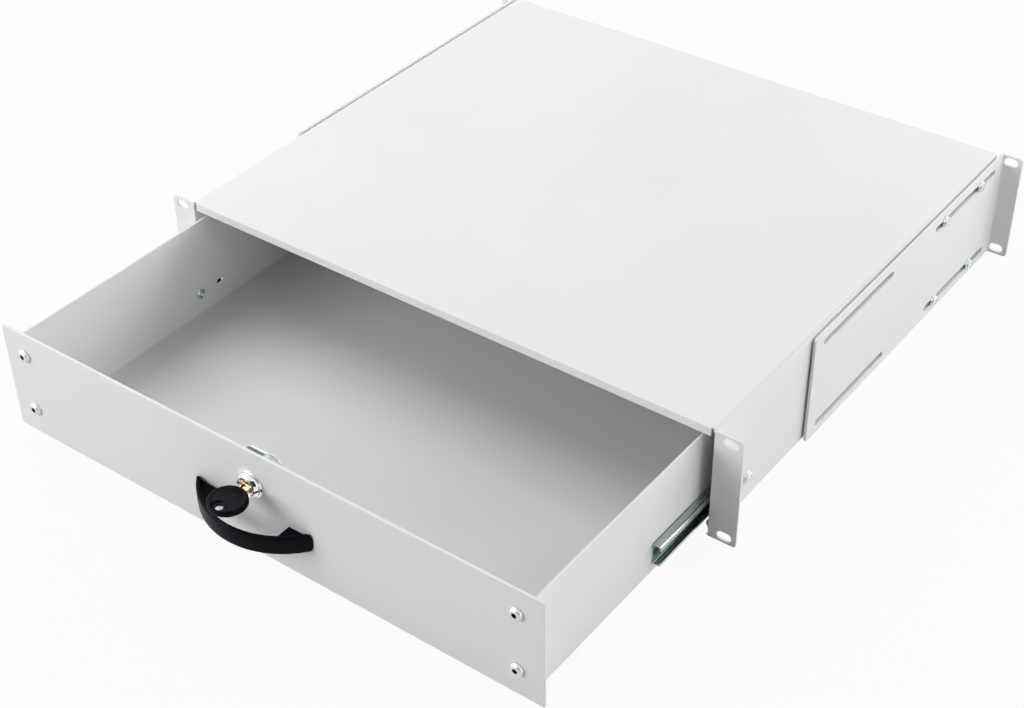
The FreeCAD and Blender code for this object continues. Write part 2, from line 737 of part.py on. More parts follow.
def tray():
    body = new_body("tray")
    inner = S("tray_bend")
    outer = f"({inner} + {S('tray_sheet')})"
    floor = f"({TRAY_BOTTOM} + {S('tray_sheet')})"
    extrude(body, "XZ_Plane", PANEL_BACK, TRAY_REAR, lambda sketch: outline(sketch, [
        (f"-{TRAY_HALF}", TRAY_TOP),
        (f"-{TRAY_HALF}", TRAY_BOTTOM, outer),
        (TRAY_HALF, TRAY_BOTTOM, outer),
        (TRAY_HALF, TRAY_TOP),
        (TRAY_IN, TRAY_TOP),
        (TRAY_IN, floor, inner),
        (f"-{TRAY_IN}", floor, inner),
        (f"-{TRAY_IN}", TRAY_TOP),
    ]))
    # Front and rear walls fold up from the floor between the side walls, with open corners.
    end = f"({TRAY_IN} - {S('tray_corner_gap')})"
    for face, sign in ((PANEL_BACK, "+"), (TRAY_REAR, "-")):
        bend = f"({face} {sign} {outer})"
        span = (f"{face} - {PAST}", bend) if sign == "+" else (bend, f"{face} + {PAST}")
        cut(body, "XZ_Plane", *span, lambda sketch: box(
            sketch, f"-{TRAY_IN}", f"{TRAY_BOTTOM} - {PAST}", TRAY_IN, f"{floor} + {inner}"))
        extrude(body, "YZ_Plane", f"-{end}", end, lambda sketch: outline(sketch, [
            (face, TRAY_TOP),
            (face, TRAY_BOTTOM, outer),
            (f"{bend} {sign} {inner}", TRAY_BOTTOM),
            (f"{bend} {sign} {inner}", floor),
            (f"{face} {sign} {S('tray_sheet')}", floor, inner),
            (f"{face} {sign} {S('tray_sheet')}", TRAY_TOP),
        ]))
    cut(body, "XZ_Plane", f"{PANEL_BACK} - {PAST}", f"{TRAY_WALL_BACK} + {PAST}", front_holes)

    cut(body, "YZ_Plane", f"{TRAY_IN} - {PAST}", f"{TRAY_HALF} + {PAST}", channel_holes)
    cut(body, "YZ_Plane", f"-{TRAY_HALF} - {PAST}", f"-{TRAY_IN} + {PAST}", channel_holes)
    return keep(body)


def front_panel():
    body = new_body("front_panel")
    half = f"({CASING_HALF} - {S('panel_short')})"
    up = f"({CASING_TOP} - {S('panel_low')})"
    extrude(body, "XZ_Plane", PANEL_FRONT, PANEL_BACK, lambda sketch: box(
        sketch, f"-{half}", f"-{up}", half, up))
    round_edges(body, S("panel_edge"), lambda edge: near(edge.CenterOfMass.y, PANEL_FRONT))
    cut(body, "XZ_Plane", f"{PANEL_FRONT} - {PAST}", f"{PANEL_BACK} + {PAST}", front_holes)
    return keep(body)


def handle():
    """A bow of flat band, round in plan, with a screw foot behind each end."""
    body = new_body("handle")
    reach = S("handle_reach")
    bow = f"(({HANDLE_HALF} * {HANDLE_HALF} + {reach} * {reach}) / (2 * {reach}))"
    centre = f"({PANEL_FRONT} - {reach} + {bow})"
    bow_in = f"({bow} - {S('handle_band')})"
    span_in = f"sqrt({bow_in} * {bow_in} - ({bow} - {reach}) * ({bow} - {reach}))"
    low = f"({HANDLE_UP} - {S('handle_height')} / 2)"
    high = f"({HANDLE_UP} + {S('handle_height')} / 2)"

    def band(sketch):
        ends = []
        for radius, reach_x in ((bow, HANDLE_HALF), (bow_in, span_in)):
            left = at(f"-{reach_x}", PANEL_FRONT)
            right = at(reach_x, PANEL_FRONT)
            peak = at("0", f"{centre} - {radius}")
            arc = sketch.addGeometry(Part.Arc(left, peak, right))
            pin(sketch, arc, 3, "0", centre)
            bind(sketch, "Radius", radius, arc)
            bind(sketch, "DistanceY", PANEL_FRONT, -1, 1, arc, 1)
            bind(sketch, "DistanceY", PANEL_FRONT, -1, 1, arc, 2)
            ends.append((arc, left, right))
        for point, pick in ((1, 1), (2, 2)):
            line = sketch.addGeometry(Part.LineSegment(ends[0][pick], ends[1][pick]))
            sketch.addConstraint(Sketcher.Constraint("Coincident", line, 1, ends[0][0], point))
            sketch.addConstraint(Sketcher.Constraint("Coincident", line, 2, ends[1][0], point))

    extrude(body, "XY_Plane", low, high, band)
    foot_low = f"({HANDLE_UP} - {S('foot_height')} / 2)"
    foot_high = f"({HANDLE_UP} + {S('foot_height')} / 2)"
    foot_out = f"({span_in} + {S('handle_band')} / 4)"
    foot_in = f"({HANDLE_HALF} - {S('foot_long')})"
    # The foot's inner side reaches half-way into the band, where the bow's mid radius passes.
    mid = f"({bow} - {S('handle_band')} / 2)"
    foot_tip = f"({centre} - sqrt({mid} * {mid} - {foot_in} * {foot_in}))"
    for side in ("", "-"):
        extrude(body, "XY_Plane", foot_low, foot_high, lambda sketch: outline(sketch, [
            (f"{side}{foot_in}", PANEL_FRONT),
            (f"{side}{foot_out}", PANEL_FRONT),
            (f"{side}{foot_in}", foot_tip),
        ]))
        cut(body, "XZ_Plane", f"{PANEL_FRONT} - {S('foot_hole_deep')}", f"{PANEL_FRONT} + {PAST}",
            lambda sketch: circle(sketch, f"{side}{FOOT_SCREW_X}", HANDLE_UP, NUT_BORE))
    round_edges(body, S("handle_edge"), lambda edge: edge.Length > number(HANDLE_HALF) and (
        near(edge.CenterOfMass.z, low) or near(edge.CenterOfMass.z, high)), flat=True)
    return keep(body)


# ---- lock and key ----------------------------------------------------------------------------

def place_lock(body):
    """Lock pieces are turned about their own Y axis and then raised to the lock's height."""
    body.setExpression("Placement.Base.z", S("lock_rise"))
    return keep(body)


def lock_barrel():
    """Barrel and bright bezel, turned in one piece."""
    body = new_body("lock_barrel")
    bore = f"({S('plug_size')} / 2 + {S('plug_clear')})"
    rim = f"({S('bezel_size')} / 2)"
    face = f"({S('bezel_face')} / 2)"
    step = f"({PANEL_FRONT} - {S('bezel_step')})"
    revolve(body, "XY_Plane", lambda sketch: outline(sketch, [
        (bore, BARREL_END),
        (f"{S('barrel_size')} / 2", BARREL_END),
        (f"{S('barrel_size')} / 2", PANEL_FRONT),
        (rim, PANEL_FRONT),
        (rim, step),
        (face, f"({PANEL_FRONT} - {S('bezel_proud')})"),
        (bore, f"({PANEL_FRONT} - {S('bezel_proud')})"),
    ]), "V_Axis")
    return place_lock(body)


def lock_plug():
    """The turning plug with its keyway, and the square stem that drives the cam."""
    body = new_body("lock_plug")
    flats = f"({S('stem_flats')} / 2)"
    extrude(body, "XZ_Plane", PLUG_FACE, BARREL_END, lambda sketch: circle(
        sketch, "0", "0", S("plug_size")))
    extrude(body, "XZ_Plane", BARREL_END, CAM_BACK, lambda sketch: box(
        sketch, f"-{flats}", f"-{flats}", flats, flats))
    wide = f"({S('key_wide')} / 2 + {S('keyway_clear')})"
    tall = f"({S('key_sheet')} / 2 + {S('keyway_clear')})"
    keyway_end = f"{PLUG_FACE} + {S('key_in')} + {S('keyway_spare')}"
    cut(body, "XZ_Plane", f"{PLUG_FACE} - {PAST}", keyway_end,
        lambda sketch: box(sketch, f"-{wide}", f"-{tall}", wide, tall))
    cut(body, "XZ_Plane", f"{BARREL_END} - {S('cam_screw_in')} - {PAST}", f"{CAM_BACK} + {PAST}",
        lambda sketch: circle(sketch, "0", "0", NUT_BORE))
    return place_lock(body)


def lock_cam():
    body = new_body("lock_cam")
    hole = f"({S('stem_flats')} / 2 + {S('hole_clear')} / 2)"
    extrude(body, "XZ_Plane", CAM_FRONT, CAM_BACK, lambda sketch: slot(
        sketch, f"-{CAM_REACH} / 2", "0", f"{CAM_REACH} + {S('cam_wide')}", S("cam_wide")))
    cut(body, "XZ_Plane", f"{CAM_FRONT} - {PAST}", f"{CAM_BACK} + {PAST}", lambda sketch: box(
        sketch, f"-{hole}", f"-{hole}", hole, hole))
    return place_lock(body)


def cam_screw():
    """The screw that holds the cam on the plug's stem."""
    body = new_body("cam_screw")
    tip = f"({BARREL_END} - {S('cam_screw_in')})"
    top = f"({CAM_BACK} + {S('pan_head_tall')})"
    revolve(body, "XY_Plane", lambda sketch: outline(sketch, [
        ("0", tip),
        (f"{S('screw_size')} / 2", tip),
        (f"{S('screw_size')} / 2", CAM_BACK),
        (f"{S('cam_screw_head')} / 2", CAM_BACK),
        (f"{S('cam_screw_head')} / 2", top),
        ("0", top),
    ]), "V_Axis")
    return place_lock(body)


def lock_nut():
    body = new_body("lock_nut")
    back = f"({TRAY_WALL_BACK} + {S('lock_nut_thick')})"
    extrude(body, "XZ_Plane", TRAY_WALL_BACK, back, lambda sketch: hexagon(
        sketch, "0", "0", S("lock_nut_flats")))
    cut(body, "XZ_Plane", f"{TRAY_WALL_BACK} - {PAST}", f"{back} + {PAST}", lambda sketch: circle(
        sketch, "0", "0", f"({S('barrel_size')} + {S('hole_clear')})"))
    return place_lock(body)


def key_blade():
    """A flat key blade, notched along one edge, with its root in the bow."""
    body = new_body("key_blade")
    half = f"({S('key_wide')} / 2)"
    tip = f"({PLUG_FACE} + {S('key_in')})"
    root = f"({BOW_INNER} - {S('bow_socket')})"
    points = [(f"-{half}", root), (half, root)]
    for index in range(KEY_NOTCHES, 0, -1):
        middle = f"{tip} - {S('key_tip')} / 2 - {S('key_notch_pitch')} * {index}"
        points.append((half, f"{middle} - {S('key_notch')}"))
        points.append((f"{half} - {S('key_notch')}", middle))
    points.append((half, f"{tip} - {S('key_tip')}"))
    points.append((f"{half} - {S('key_tip')}", tip))
    points.append((f"-{half} + {S('key_tip')}", tip))
    points.append((f"-{half}", f"{tip} - {S('key_tip')}"))
    thick = f"({S('key_sheet')} / 2)"
    extrude(body, "XY_Plane", f"-{thick}", thick, lambda sketch: outline(sketch, points))
    return place_lock(body)


def key_bow():
    """The moulded round bow, with its ring hole at the outer end."""
    body = new_body("key_bow")
    half = f"({S('bow_thick')} / 2)"
    extrude(body, "XY_Plane", f"-{half}", half, lambda sketch: circle(
        sketch, "0", BOW_CENTRE, S("bow_size")))
    round_edges(body, S("bow_edge"), lambda edge: edge.Length > number(S("bow_size")), flat=True)
    cut(body, "XY_Plane", f"-{half} - {PAST}", f"{half} + {PAST}", lambda sketch: circle(
        sketch, "0", f"{BOW_CENTRE} - {S('ring_hole_out')}", S("ring_hole")))
    wide = f"({S('key_wide')} / 2 + {S('hole_clear')} / 2)"
    tall = f"({S('key_sheet')} / 2 + {S('hole_clear')} / 2)"
    cut(body, "XZ_Plane", f"{BOW_INNER} - {S('bow_socket')} - {S('hole_clear')}", f"{BOW_INNER} + {PAST}",
        lambda sketch: box(sketch, f"-{wide}", f"-{tall}", wide, tall))
    return place_lock(body)


# ---- rear brackets ---------------------------------------------------------------------------

def bracket_right():
    """A slotted plate along the casing with an ear for the rack's rear post."""
    body = new_body("bracket_right")
    ear_front = f"({BRACKET_REAR} - {S('bracket_sheet')})"
    inner = S("bracket_bend")
    outer = f"({inner} + {S('bracket_sheet')})"
    extrude(body, "XY_Plane", f"-{EAR_TOP}", EAR_TOP, lambda sketch: outline(sketch, [
        (BRACKET_IN, BRACKET_FRONT),
        (BRACKET_OUT, BRACKET_FRONT),
        (BRACKET_OUT, ear_front, inner),
        (EAR_END, ear_front),
        (EAR_END, BRACKET_REAR),
        (BRACKET_IN, BRACKET_REAR, outer),
    ]))
    round_edges(body, S("ear_round"), lambda edge: near(abs(edge.CenterOfMass.z), EAR_TOP) and (
        (runs_along(edge, "y") and near(edge.CenterOfMass.x, EAR_END))
        or (runs_along(edge, "x") and near(edge.CenterOfMass.y, BRACKET_FRONT))))

    def long_slots(sketch):
        wide = f"({S('screw_size')} + 2 * {S('bracket_slot_side')})"
        for rise in ("", "-"):
            for centre in BRACKET_SLOTS:
                slot(sketch, centre, f"{rise}{S('bracket_slot_up')} / 2", S("bracket_slot_long"), wide)

    cut(body, "YZ_Plane", f"{BRACKET_IN} - {PAST}", f"{BRACKET_OUT} + {PAST}", long_slots)
    cut(body, "XZ_Plane", f"{ear_front} - {PAST}", f"{BRACKET_REAR} + {PAST}",
        lambda sketch: ear_slots(sketch, ""))
    return keep(body)


# ---- fasteners -------------------------------------------------------------------------------

def turned_screw(label, shank, head, head_tall, tip, slant, washer=False):
    """A screw along +X, seated at x = 0, its tip at -tip, with or without its washer."""
    form = new_body(label)
    seat = "0"
    points = [(f"-({tip})", "0"), (f"-({tip})", f"({shank}) / 2"), ("0", f"({shank}) / 2")]
    if washer:
        seat = S("washer_thick")
        points += [("0", f"{S('washer_size')} / 2"), (seat, f"{S('washer_size')} / 2")]
    points += [
        (seat, f"({head}) / 2"),
        (f"{seat} + ({head_tall}) - ({slant})", f"({head}) / 2"),
        (f"{seat} + ({head_tall})", f"({head}) / 2 - ({slant})"),
        (f"{seat} + ({head_tall})", "0"),
    ]
    revolve(form, "XY_Plane", lambda sketch: outline(sketch, points), "H_Axis")
    return form


def hexagon_form(label, flats, bore, thick):
    """A hexagonal nut or spacer along +X that starts at x = 0."""
    form = new_body(label)
    extrude(form, "YZ_Plane", "0", thick, lambda sketch: hexagon(sketch, "0", "0", flats))
    cut(form, "YZ_Plane", f"-{PAST}", f"{thick} + {PAST}", lambda sketch: circle(sketch, "0", "0", bore))
    return form


def side_fasteners():
    """Screws, spacers, nuts and rivets that lie across the side walls."""
    head = S("pan_head")
    tall = S("pan_head_tall")
    slant = S("pan_head_slant")

    # Rail screws: washer and head outside the casing, tip inside the rail's hollow.
    rail_tip = f"{S('casing_sheet')} + {S('rail_sheet')} + {S('rail_screw_past')}"
    rail_form = turned_screw("rail_screw_form", S("screw_size"), head, tall, rail_tip, slant, True)
    copies("rail_screws", rail_form, both_sides(CASING_HALF, [(RAIL_SCREW, SLIDE_UP)]))

    # Rivets: a low head in the gap behind the bracket, flush inside the rail.
    rivet = turned_screw("rivet_form", S("screw_size"), S("rivet_head"), S("rivet_head_tall"),
                         f"{S('casing_sheet')} + {S('rail_sheet')}", S("rivet_slant"))
    copies("rail_rivets", rivet, both_sides(CASING_HALF, [(RAIL_RIVET, SLIDE_UP)]))

    # Channel screws: heads inside the tray, tips flush with the channel's web.
    channel_form = turned_screw("channel_screw_form", S("screw_size"), head, tall,
                                f"{S('tray_sheet')} + {S('channel_sheet')}", slant)
    rows = [(place, SLIDE_UP) for place in CHANNEL_SCREWS]
    inward = [(x, y, z, turn + 180) for x, y, z, turn in both_sides(TRAY_IN, rows)]
    copies("channel_screws", channel_form, inward)

    # Bracket screws: they clamp the bracket against spacers, into clinch nuts in the casing.
    rows = []
    for y in BRACKET_SCREWS:
        for rise in ("", "-"):
            rows.append((y, f"{rise}{S('bracket_slot_up')} / 2"))
    seat = f"({BRACKET_OUT} + {S('bracket_clear')})"
    grip = f"({seat} - {CASING_IN} + {S('clinch_nut_thick')})"
    bracket_form = turned_screw("bracket_screw_form", S("screw_size"), head, tall, grip, slant, True)
    copies("bracket_screws", bracket_form, both_sides(seat, rows))
    spacer = hexagon_form("spacer_form", S("spacer_flats"), NUT_BORE,
                          f"{S('bracket_stand')} - {S('bracket_clear')}")
    copies("bracket_spacers", spacer, both_sides(CASING_HALF, rows))
    clinch = hexagon_form("clinch_form", S("clinch_nut_flats"), NUT_BORE, S("clinch_nut_thick"))
    copies("clinch_nuts", clinch, both_sides(f"{CASING_IN} - {S('clinch_nut_thick')}", rows))


def front_fasteners():
    """Panel screws and nuts, and the screws that hold the handle from behind."""
    # The forms point their heads to +X, so a turn of -90 degrees about Z faces them forwards.
    grip = f"({S('panel_sheet')} + {S('tray_sheet')} + {S('panel_nut_thick')} + {S('panel_screw_past')})"
    button = turned_screw("panel_screw_form", S("panel_screw_size"), S("button_head"),
                          S("button_head_tall"), grip, S("button_slant"))
    cut(button, "YZ_Plane", f"{S('button_head_tall')} - {S('socket_deep')}",
        f"{S('button_head_tall')} + {PAST}", lambda sketch: hexagon(sketch, "0", "0", S("socket_flats")))
    nut = hexagon_form("panel_nut_form", S("panel_nut_flats"),
                       f"({S('panel_screw_size')} + {S('hole_clear')})", S("panel_nut_thick"))
    spots = []
    for side in ("", "-"):
        for sign in "+-":
            x = f"{side}{PANEL_SCREW_X}"
            z = f"{S('panel_screw_rise')} {sign} {S('panel_screw_up')} / 2"
            spots.append((x, z))
    copies("panel_screws", button, [(x, PANEL_FRONT, z, -90) for x, z in spots])
    copies("panel_nuts", nut, [(x, TRAY_WALL_BACK, z, 90) for x, z in spots])

    grip = f"({S('panel_sheet')} + {S('tray_sheet')} + {S('foot_hole_deep')} - {S('foot_hole_spare')})"
    form = turned_screw("handle_screw_form", S("screw_size"), S("pan_head"), S("pan_head_tall"),
                        grip, S("pan_head_slant"))
    places = [(f"{side}{FOOT_SCREW_X}", TRAY_WALL_BACK, HANDLE_UP, 90) for side in ("", "-")]
    copies("handle_screws", form, places)


casing_shell()
lock_keeper()
slides()
tray()
front_panel()
handle()
lock_barrel()
lock_nut()
lock_plug()
lock_cam()
cam_screw()
key_blade()
key_bow()
mirrored(bracket_right(), "bracket_left")
side_fasteners()
front_fasteners()
doc.recompute()

# ---- check and export ------------------------------------------------------------------------

for item in doc.Objects:
    if "Invalid" in item.State or "Error" in item.State:
        raise RuntimeError(f"{item.Label} failed: {item.State}")
for piece in kept:
    if piece.Shape.isNull() or not piece.Shape.isValid():
        raise RuntimeError(f"{piece.Label} has no valid shape")
for piece in kept:
    piece.Shape.exportStep(f"parts/{piece.Label}.step")
    print(f"{piece.Label}: {len(piece.Shape.Solids)} solid(s), {piece.Shape.Volume:.1f} mm3")
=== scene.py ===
import json
import math

import bmesh
import bpy
from mathutils import Matrix, Vector


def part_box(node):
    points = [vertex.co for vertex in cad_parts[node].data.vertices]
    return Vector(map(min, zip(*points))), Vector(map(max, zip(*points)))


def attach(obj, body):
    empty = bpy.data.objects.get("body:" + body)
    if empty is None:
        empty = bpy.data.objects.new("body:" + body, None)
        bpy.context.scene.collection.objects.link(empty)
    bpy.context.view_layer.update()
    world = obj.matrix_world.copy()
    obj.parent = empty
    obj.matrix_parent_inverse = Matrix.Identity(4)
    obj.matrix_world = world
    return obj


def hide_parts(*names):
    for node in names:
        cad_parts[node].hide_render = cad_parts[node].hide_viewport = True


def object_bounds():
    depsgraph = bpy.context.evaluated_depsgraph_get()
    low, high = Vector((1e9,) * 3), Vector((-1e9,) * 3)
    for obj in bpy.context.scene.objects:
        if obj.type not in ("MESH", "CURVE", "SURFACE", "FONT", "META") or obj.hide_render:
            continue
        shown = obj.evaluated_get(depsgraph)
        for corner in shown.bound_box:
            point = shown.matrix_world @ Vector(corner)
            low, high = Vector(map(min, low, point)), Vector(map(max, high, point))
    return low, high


# A sliding rack drawer, pulled half out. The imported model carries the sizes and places; this
# script gives it its finishes, broken edges, real screws and nuts, lock, key and bow handle.
# Places in the frame are in metres. The rows and outlines that forms are made from are in mm.

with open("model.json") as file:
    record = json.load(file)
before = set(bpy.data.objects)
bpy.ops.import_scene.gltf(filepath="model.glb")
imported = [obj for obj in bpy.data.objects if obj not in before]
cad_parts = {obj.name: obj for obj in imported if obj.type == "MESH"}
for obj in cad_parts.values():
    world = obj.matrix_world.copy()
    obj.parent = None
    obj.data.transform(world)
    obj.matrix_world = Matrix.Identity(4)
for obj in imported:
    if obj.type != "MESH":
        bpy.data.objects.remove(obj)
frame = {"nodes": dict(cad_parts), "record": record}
CAD_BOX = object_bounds()
MM = 0.001
SCENE = bpy.context.scene
SCENE.view_settings.view_transform = "Standard"
BODY_OF = {}
for body_name, members in frame["record"]["behaviour"]["bodies"].items():
    for member in members:
        BODY_OF[member] = body_name


def linked(name, data):
    """A new object of the scene."""
    item = bpy.data.objects.new(name, data)
    SCENE.collection.objects.link(item)
    return item


# ---- camera ----------------------------------------------------------------------------------

CAMERA_PLACE = (0.63905, -0.76139, 0.75945)
CAMERA_TURN = 0.65042
CAMERA_DIP = 0.65961
CAMERA_ROLL = -0.01666
LENS_LENGTH = 64.42
SENSOR_WIDTH = 36
LENS_SHIFT = (0.0065, 0.0145)

lens = bpy.data.cameras.new("camera")
lens.lens = LENS_LENGTH
lens.sensor_width = SENSOR_WIDTH
lens.shift_x, lens.shift_y = LENS_SHIFT
camera = linked("camera", lens)
turned = Matrix.Rotation(CAMERA_TURN, 4, "Z") @ Matrix.Rotation(math.pi / 2 - CAMERA_DIP, 4, "X")
camera.matrix_world = Matrix.Translation(CAMERA_PLACE) @ turned @ Matrix.Rotation(CAMERA_ROLL, 4, "Z")
SCENE.camera = camera


# ---- materials -------------------------------------------------------------------------------
# Noise is given as cells to the metre and detail. A ramp runs between two colours or two numbers.

class Nodes:
    """A node tree that is built step by step."""

    def __init__(self, owner):
        owner.use_nodes = True
        self.tree = owner.node_tree

    def add(self, kind, **settings):
        node = self.tree.nodes.new(kind)
        for key, value in settings.items():
            setattr(node, key, value)
        return node

    def join(self, start, end):
        self.tree.links.new(start, end)

    def math(self, operation, first, second=None):
        """Arithmetic on a socket and, where the operation takes two, another socket or a number."""
        node = self.add("ShaderNodeMath", operation=operation)
        self.join(first, node.inputs[0])
        if isinstance(second, float):
            node.inputs[1].default_value = second
        elif second is not None:
            self.join(second, node.inputs[1])
        return node.outputs[0]

    def length(self, vector):
        node = self.add("ShaderNodeVectorMath", operation="LENGTH")
        self.join(vector, node.inputs[0])
        return node.outputs["Value"]


class Finish(Nodes):
    """A material whose colour, roughness and bump come from noise in the object's own space."""

    def __init__(self, name, **settings):
        self.material = bpy.data.materials.new(name)
        super().__init__(self.material)
        self.shader = self.tree.nodes["Principled BSDF"]
        for socket, value in settings.items():
            self.shader.inputs[socket.replace("_", " ")].default_value = value
        self.place = self.add("ShaderNodeTexCoord").outputs["Object"]

    def mapped(self, scale, location=(0, 0, 0)):
        """Object coordinates, stretched by axis and then moved."""
        mapping = self.add("ShaderNodeMapping")
        mapping.inputs["Scale"].default_value = scale
        mapping.inputs["Location"].default_value = location
        self.join(self.place, mapping.inputs["Vector"])
        return mapping.outputs["Vector"]

    def noise(self, scale, detail, where=None, rough=0.5):
        """Noise with so many cells to the metre, in object space or in a mapped one."""
        node = self.add("ShaderNodeTexNoise")
        node.inputs["Scale"].default_value = scale
        node.inputs["Detail"].default_value = detail
        node.inputs["Roughness"].default_value = rough
        self.join(where or self.place, node.inputs["Vector"])
        return node.outputs["Fac"]

    def ramp(self, source, low, high, start=0.35, end=0.65):
        """A colour or grey that runs from low to high as the source goes from start to end."""
        node = self.add("ShaderNodeValToRGB")
        for element, place, value in zip(node.color_ramp.elements, (start, end), (low, high)):
            element.position = place
            element.color = (*value, 1) if isinstance(value, tuple) else (value, value, value, 1)
        self.join(source, node.inputs["Fac"])
        return node.outputs["Color"]

    def tinted(self, share, first, second):
        """The first colour with a share of the second multiplied in."""
        node = self.add("ShaderNodeMix", data_type="RGBA", blend_type="MULTIPLY")
        factor, base, tint = node.inputs[0], node.inputs[6], node.inputs[7]
        factor.default_value = share
        self.join(first, base)
        self.join(second, tint)
        return node.outputs[2]

    def bump(self, *layers):
        """Bump layers as (height, strength, distance in metres), one on the other."""
        normal = None
        for height, strength, distance in layers:
            node = self.add("ShaderNodeBump")
            node.inputs["Strength"].default_value = strength
            node.inputs["Distance"].default_value = distance
            self.join(height, node.inputs["Height"])
            if normal:
                self.join(normal, node.inputs["Normal"])
            normal = node.outputs["Normal"]
        self.join(normal, self.shader.inputs["Normal"])

    def colour(self, source):
        self.join(source, self.shader.inputs["Base Color"])

    def rough(self, source):
        self.join(source, self.shader.inputs["Roughness"])


def powder_coat():
    """Light grey powder coat: fine orange peel, faint clouding and a few darker specks."""
    made = Finish("powder_grey", IOR=1.5, Specular_IOR_Level=0.3)
    grain = made.noise(2600, 2)
    cloud = made.ramp(made.noise(9, 2), (0.735, 0.75, 0.742), (0.762, 0.775, 0.765), 0.3, 0.7)
    speck = made.ramp(grain, 0.93, 1.0, 0.3, 0.52)
    peel = made.noise(780, 2)
    made.colour(made.tinted(0.55, cloud, speck))
    made.rough(made.ramp(made.noise(420, 3), 0.50, 0.62))
    made.bump((peel, 0.16, 0.00006), (grain, 0.10, 0.00002))
    return made.material


LINES_ALONG, LINES_ACROSS = 6, 900
PLATED = (0.20, 0.36)


def zinc_plate(name, along, colours, rough=PLATED):
    """Plated steel with fine lines along one axis, a faint bluish bloom and small scratches."""
    made = Finish(name, Metallic=1.0)
    stretch = [LINES_ALONG if axis == along else LINES_ACROSS for axis in "xyz"]
    lines = made.noise(1.0, 4, made.mapped(stretch), 0.6)
    bloom = made.ramp(made.noise(70, 3), (0.93, 1.0, 0.99), (1.0, 0.98, 0.95), 0.35, 0.7)
    scratches = made.noise(1500, 2)
    made.colour(made.tinted(1.0, made.ramp(lines, *colours), bloom))
    made.rough(made.ramp(lines, *rough))
    made.bump((lines, 0.12, 0.00002), (scratches, 0.05, 0.00001))
    return made.material


RING_SPACING = 0.00035


def turned_metal(name, colours, rough, centre):
    """Lathe-turned metal: fine rings about an axis along Y through the centre."""
    made = Finish(name, Metallic=1.0)
    out = made.length(made.mapped((1, 0, 1), (-centre.x, 0, -centre.z)))
    rings = made.math("SINE", made.math("MULTIPLY", out, 2 * math.pi / RING_SPACING))
    made.colour(made.ramp(made.noise(260, 4), *colours))
    made.rough(made.ramp(made.noise(520, 3), *rough))
    made.bump((rings, 0.03, 0.000004))
    return made.material


def polished(name, colours, rough):
    """Polished or plated metal with faint handling marks."""
    made = Finish(name, Metallic=1.0)
    made.colour(made.ramp(made.noise(180, 4), *colours))
    made.rough(made.ramp(made.noise(380, 5, rough=0.65), *rough, 0.4, 0.75))
    made.bump((made.noise(60, 2), 0.02, 0.00002))
    return made.material


def moulded_plastic():
    """Satin black plastic with a fine spark-eroded grain."""
    made = Finish("black_plastic", IOR=1.45, Specular_IOR_Level=0.05)
    made.colour(made.ramp(made.noise(60, 3), (0.0018, 0.0022, 0.005), (0.0035, 0.004, 0.0085)))
    made.rough(made.ramp(made.noise(1200, 3), 0.30, 0.42))
    made.bump((made.noise(2400, 3), 0.12, 0.00003), (made.noise(150, 2), 0.05, 0.0001))
    return made.material


LOCK_LOW, LOCK_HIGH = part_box("lock_barrel")
LOCK = Vector(((LOCK_LOW.x + LOCK_HIGH.x) / 2, LOCK_LOW.y, (LOCK_LOW.z + LOCK_HIGH.z) / 2))

SCREW_ZINC = zinc_plate("zinc_fasteners", "z", ((0.66, 0.68, 0.68), (0.82, 0.83, 0.82)))
# Dark zinc painted on as shade: inside the slides' sections and over the whole ball cages.
SHADED_ZINC = zinc_plate("painted_shade_zinc", "y", ((0.17, 0.23, 0.23), (0.27, 0.33, 0.32)))
CAST = zinc_plate("cast_zinc", "y", ((0.42, 0.43, 0.43), (0.50, 0.51, 0.51)), (0.46, 0.60))
SATIN = zinc_plate("satin_zinc", "z", ((0.62, 0.63, 0.63), (0.76, 0.77, 0.76)), (0.38, 0.52))
# Near-black zinc painted inside the button heads' hexagon sockets as their shade.
SOCKET_SHADE = zinc_plate("painted_socket_shade", "z", ((0.03, 0.03, 0.035), (0.06, 0.06, 0.065)), (0.45, 0.60))
NICKEL = zinc_plate("nickel_silver", "y", ((0.74, 0.66, 0.54), (0.84, 0.76, 0.64)))

FINISHES = {
    "powder_grey": powder_coat(),
    "zinc_steel": zinc_plate("zinc_steel", "y", ((0.34, 0.38, 0.38), (0.58, 0.62, 0.61))),
    "bearing_steel": polished("bearing_steel", ((0.70, 0.71, 0.73), (0.76, 0.77, 0.78)), (0.06, 0.14)),
    "chrome": polished("chrome", ((0.80, 0.81, 0.82), (0.87, 0.87, 0.88)), (0.05, 0.08)),
    "brass": turned_metal("brass", ((0.88, 0.71, 0.50), (0.96, 0.81, 0.61)), (0.16, 0.24), LOCK),
    "black_plastic": moulded_plastic(),
}
CAD_FINISH = {
    "powder_grey": ["casing_shell", "lock_keeper", "tray", "front_panel", "bracket_left", "bracket_right"],
    "zinc_steel": ["channel_left", "channel_right", "rail_left", "rail_right", "cage_left", "cage_right",
                   "rail_screws", "rail_rivets", "channel_screws", "bracket_screws", "bracket_spacers",
                   "clinch_nuts", "panel_screws", "panel_nuts", "handle_screws", "lock_cam", "cam_screw",
                   "lock_nut", "key_blade"],
    "bearing_steel": ["balls_left", "balls_right"],
    "chrome": ["lock_barrel"],
    "brass": ["lock_plug"],
    "black_plastic": ["handle", "key_bow"],
}
for slot_name, names in CAD_FINISH.items():
    for name in names:
        mesh = frame["nodes"][name].data
        mesh.materials.clear()
        mesh.materials.append(FINISHES[slot_name])


# ---- mesh tools ------------------------------------------------------------------------------

SHARP = math.radians(32)
FLAT = math.radians(0.6)
SAME_POINT = 0.002 * MM
SHADE_DEPTH = 0.2 * MM
EDGE_SEGMENTS = 2
SHEET_TURN = 38


def as_mesh(name, form):
    """The mesh of a bmesh, which is used up."""
    mesh = bpy.data.meshes.new(name)
    form.to_mesh(mesh)
    form.free()
    return mesh


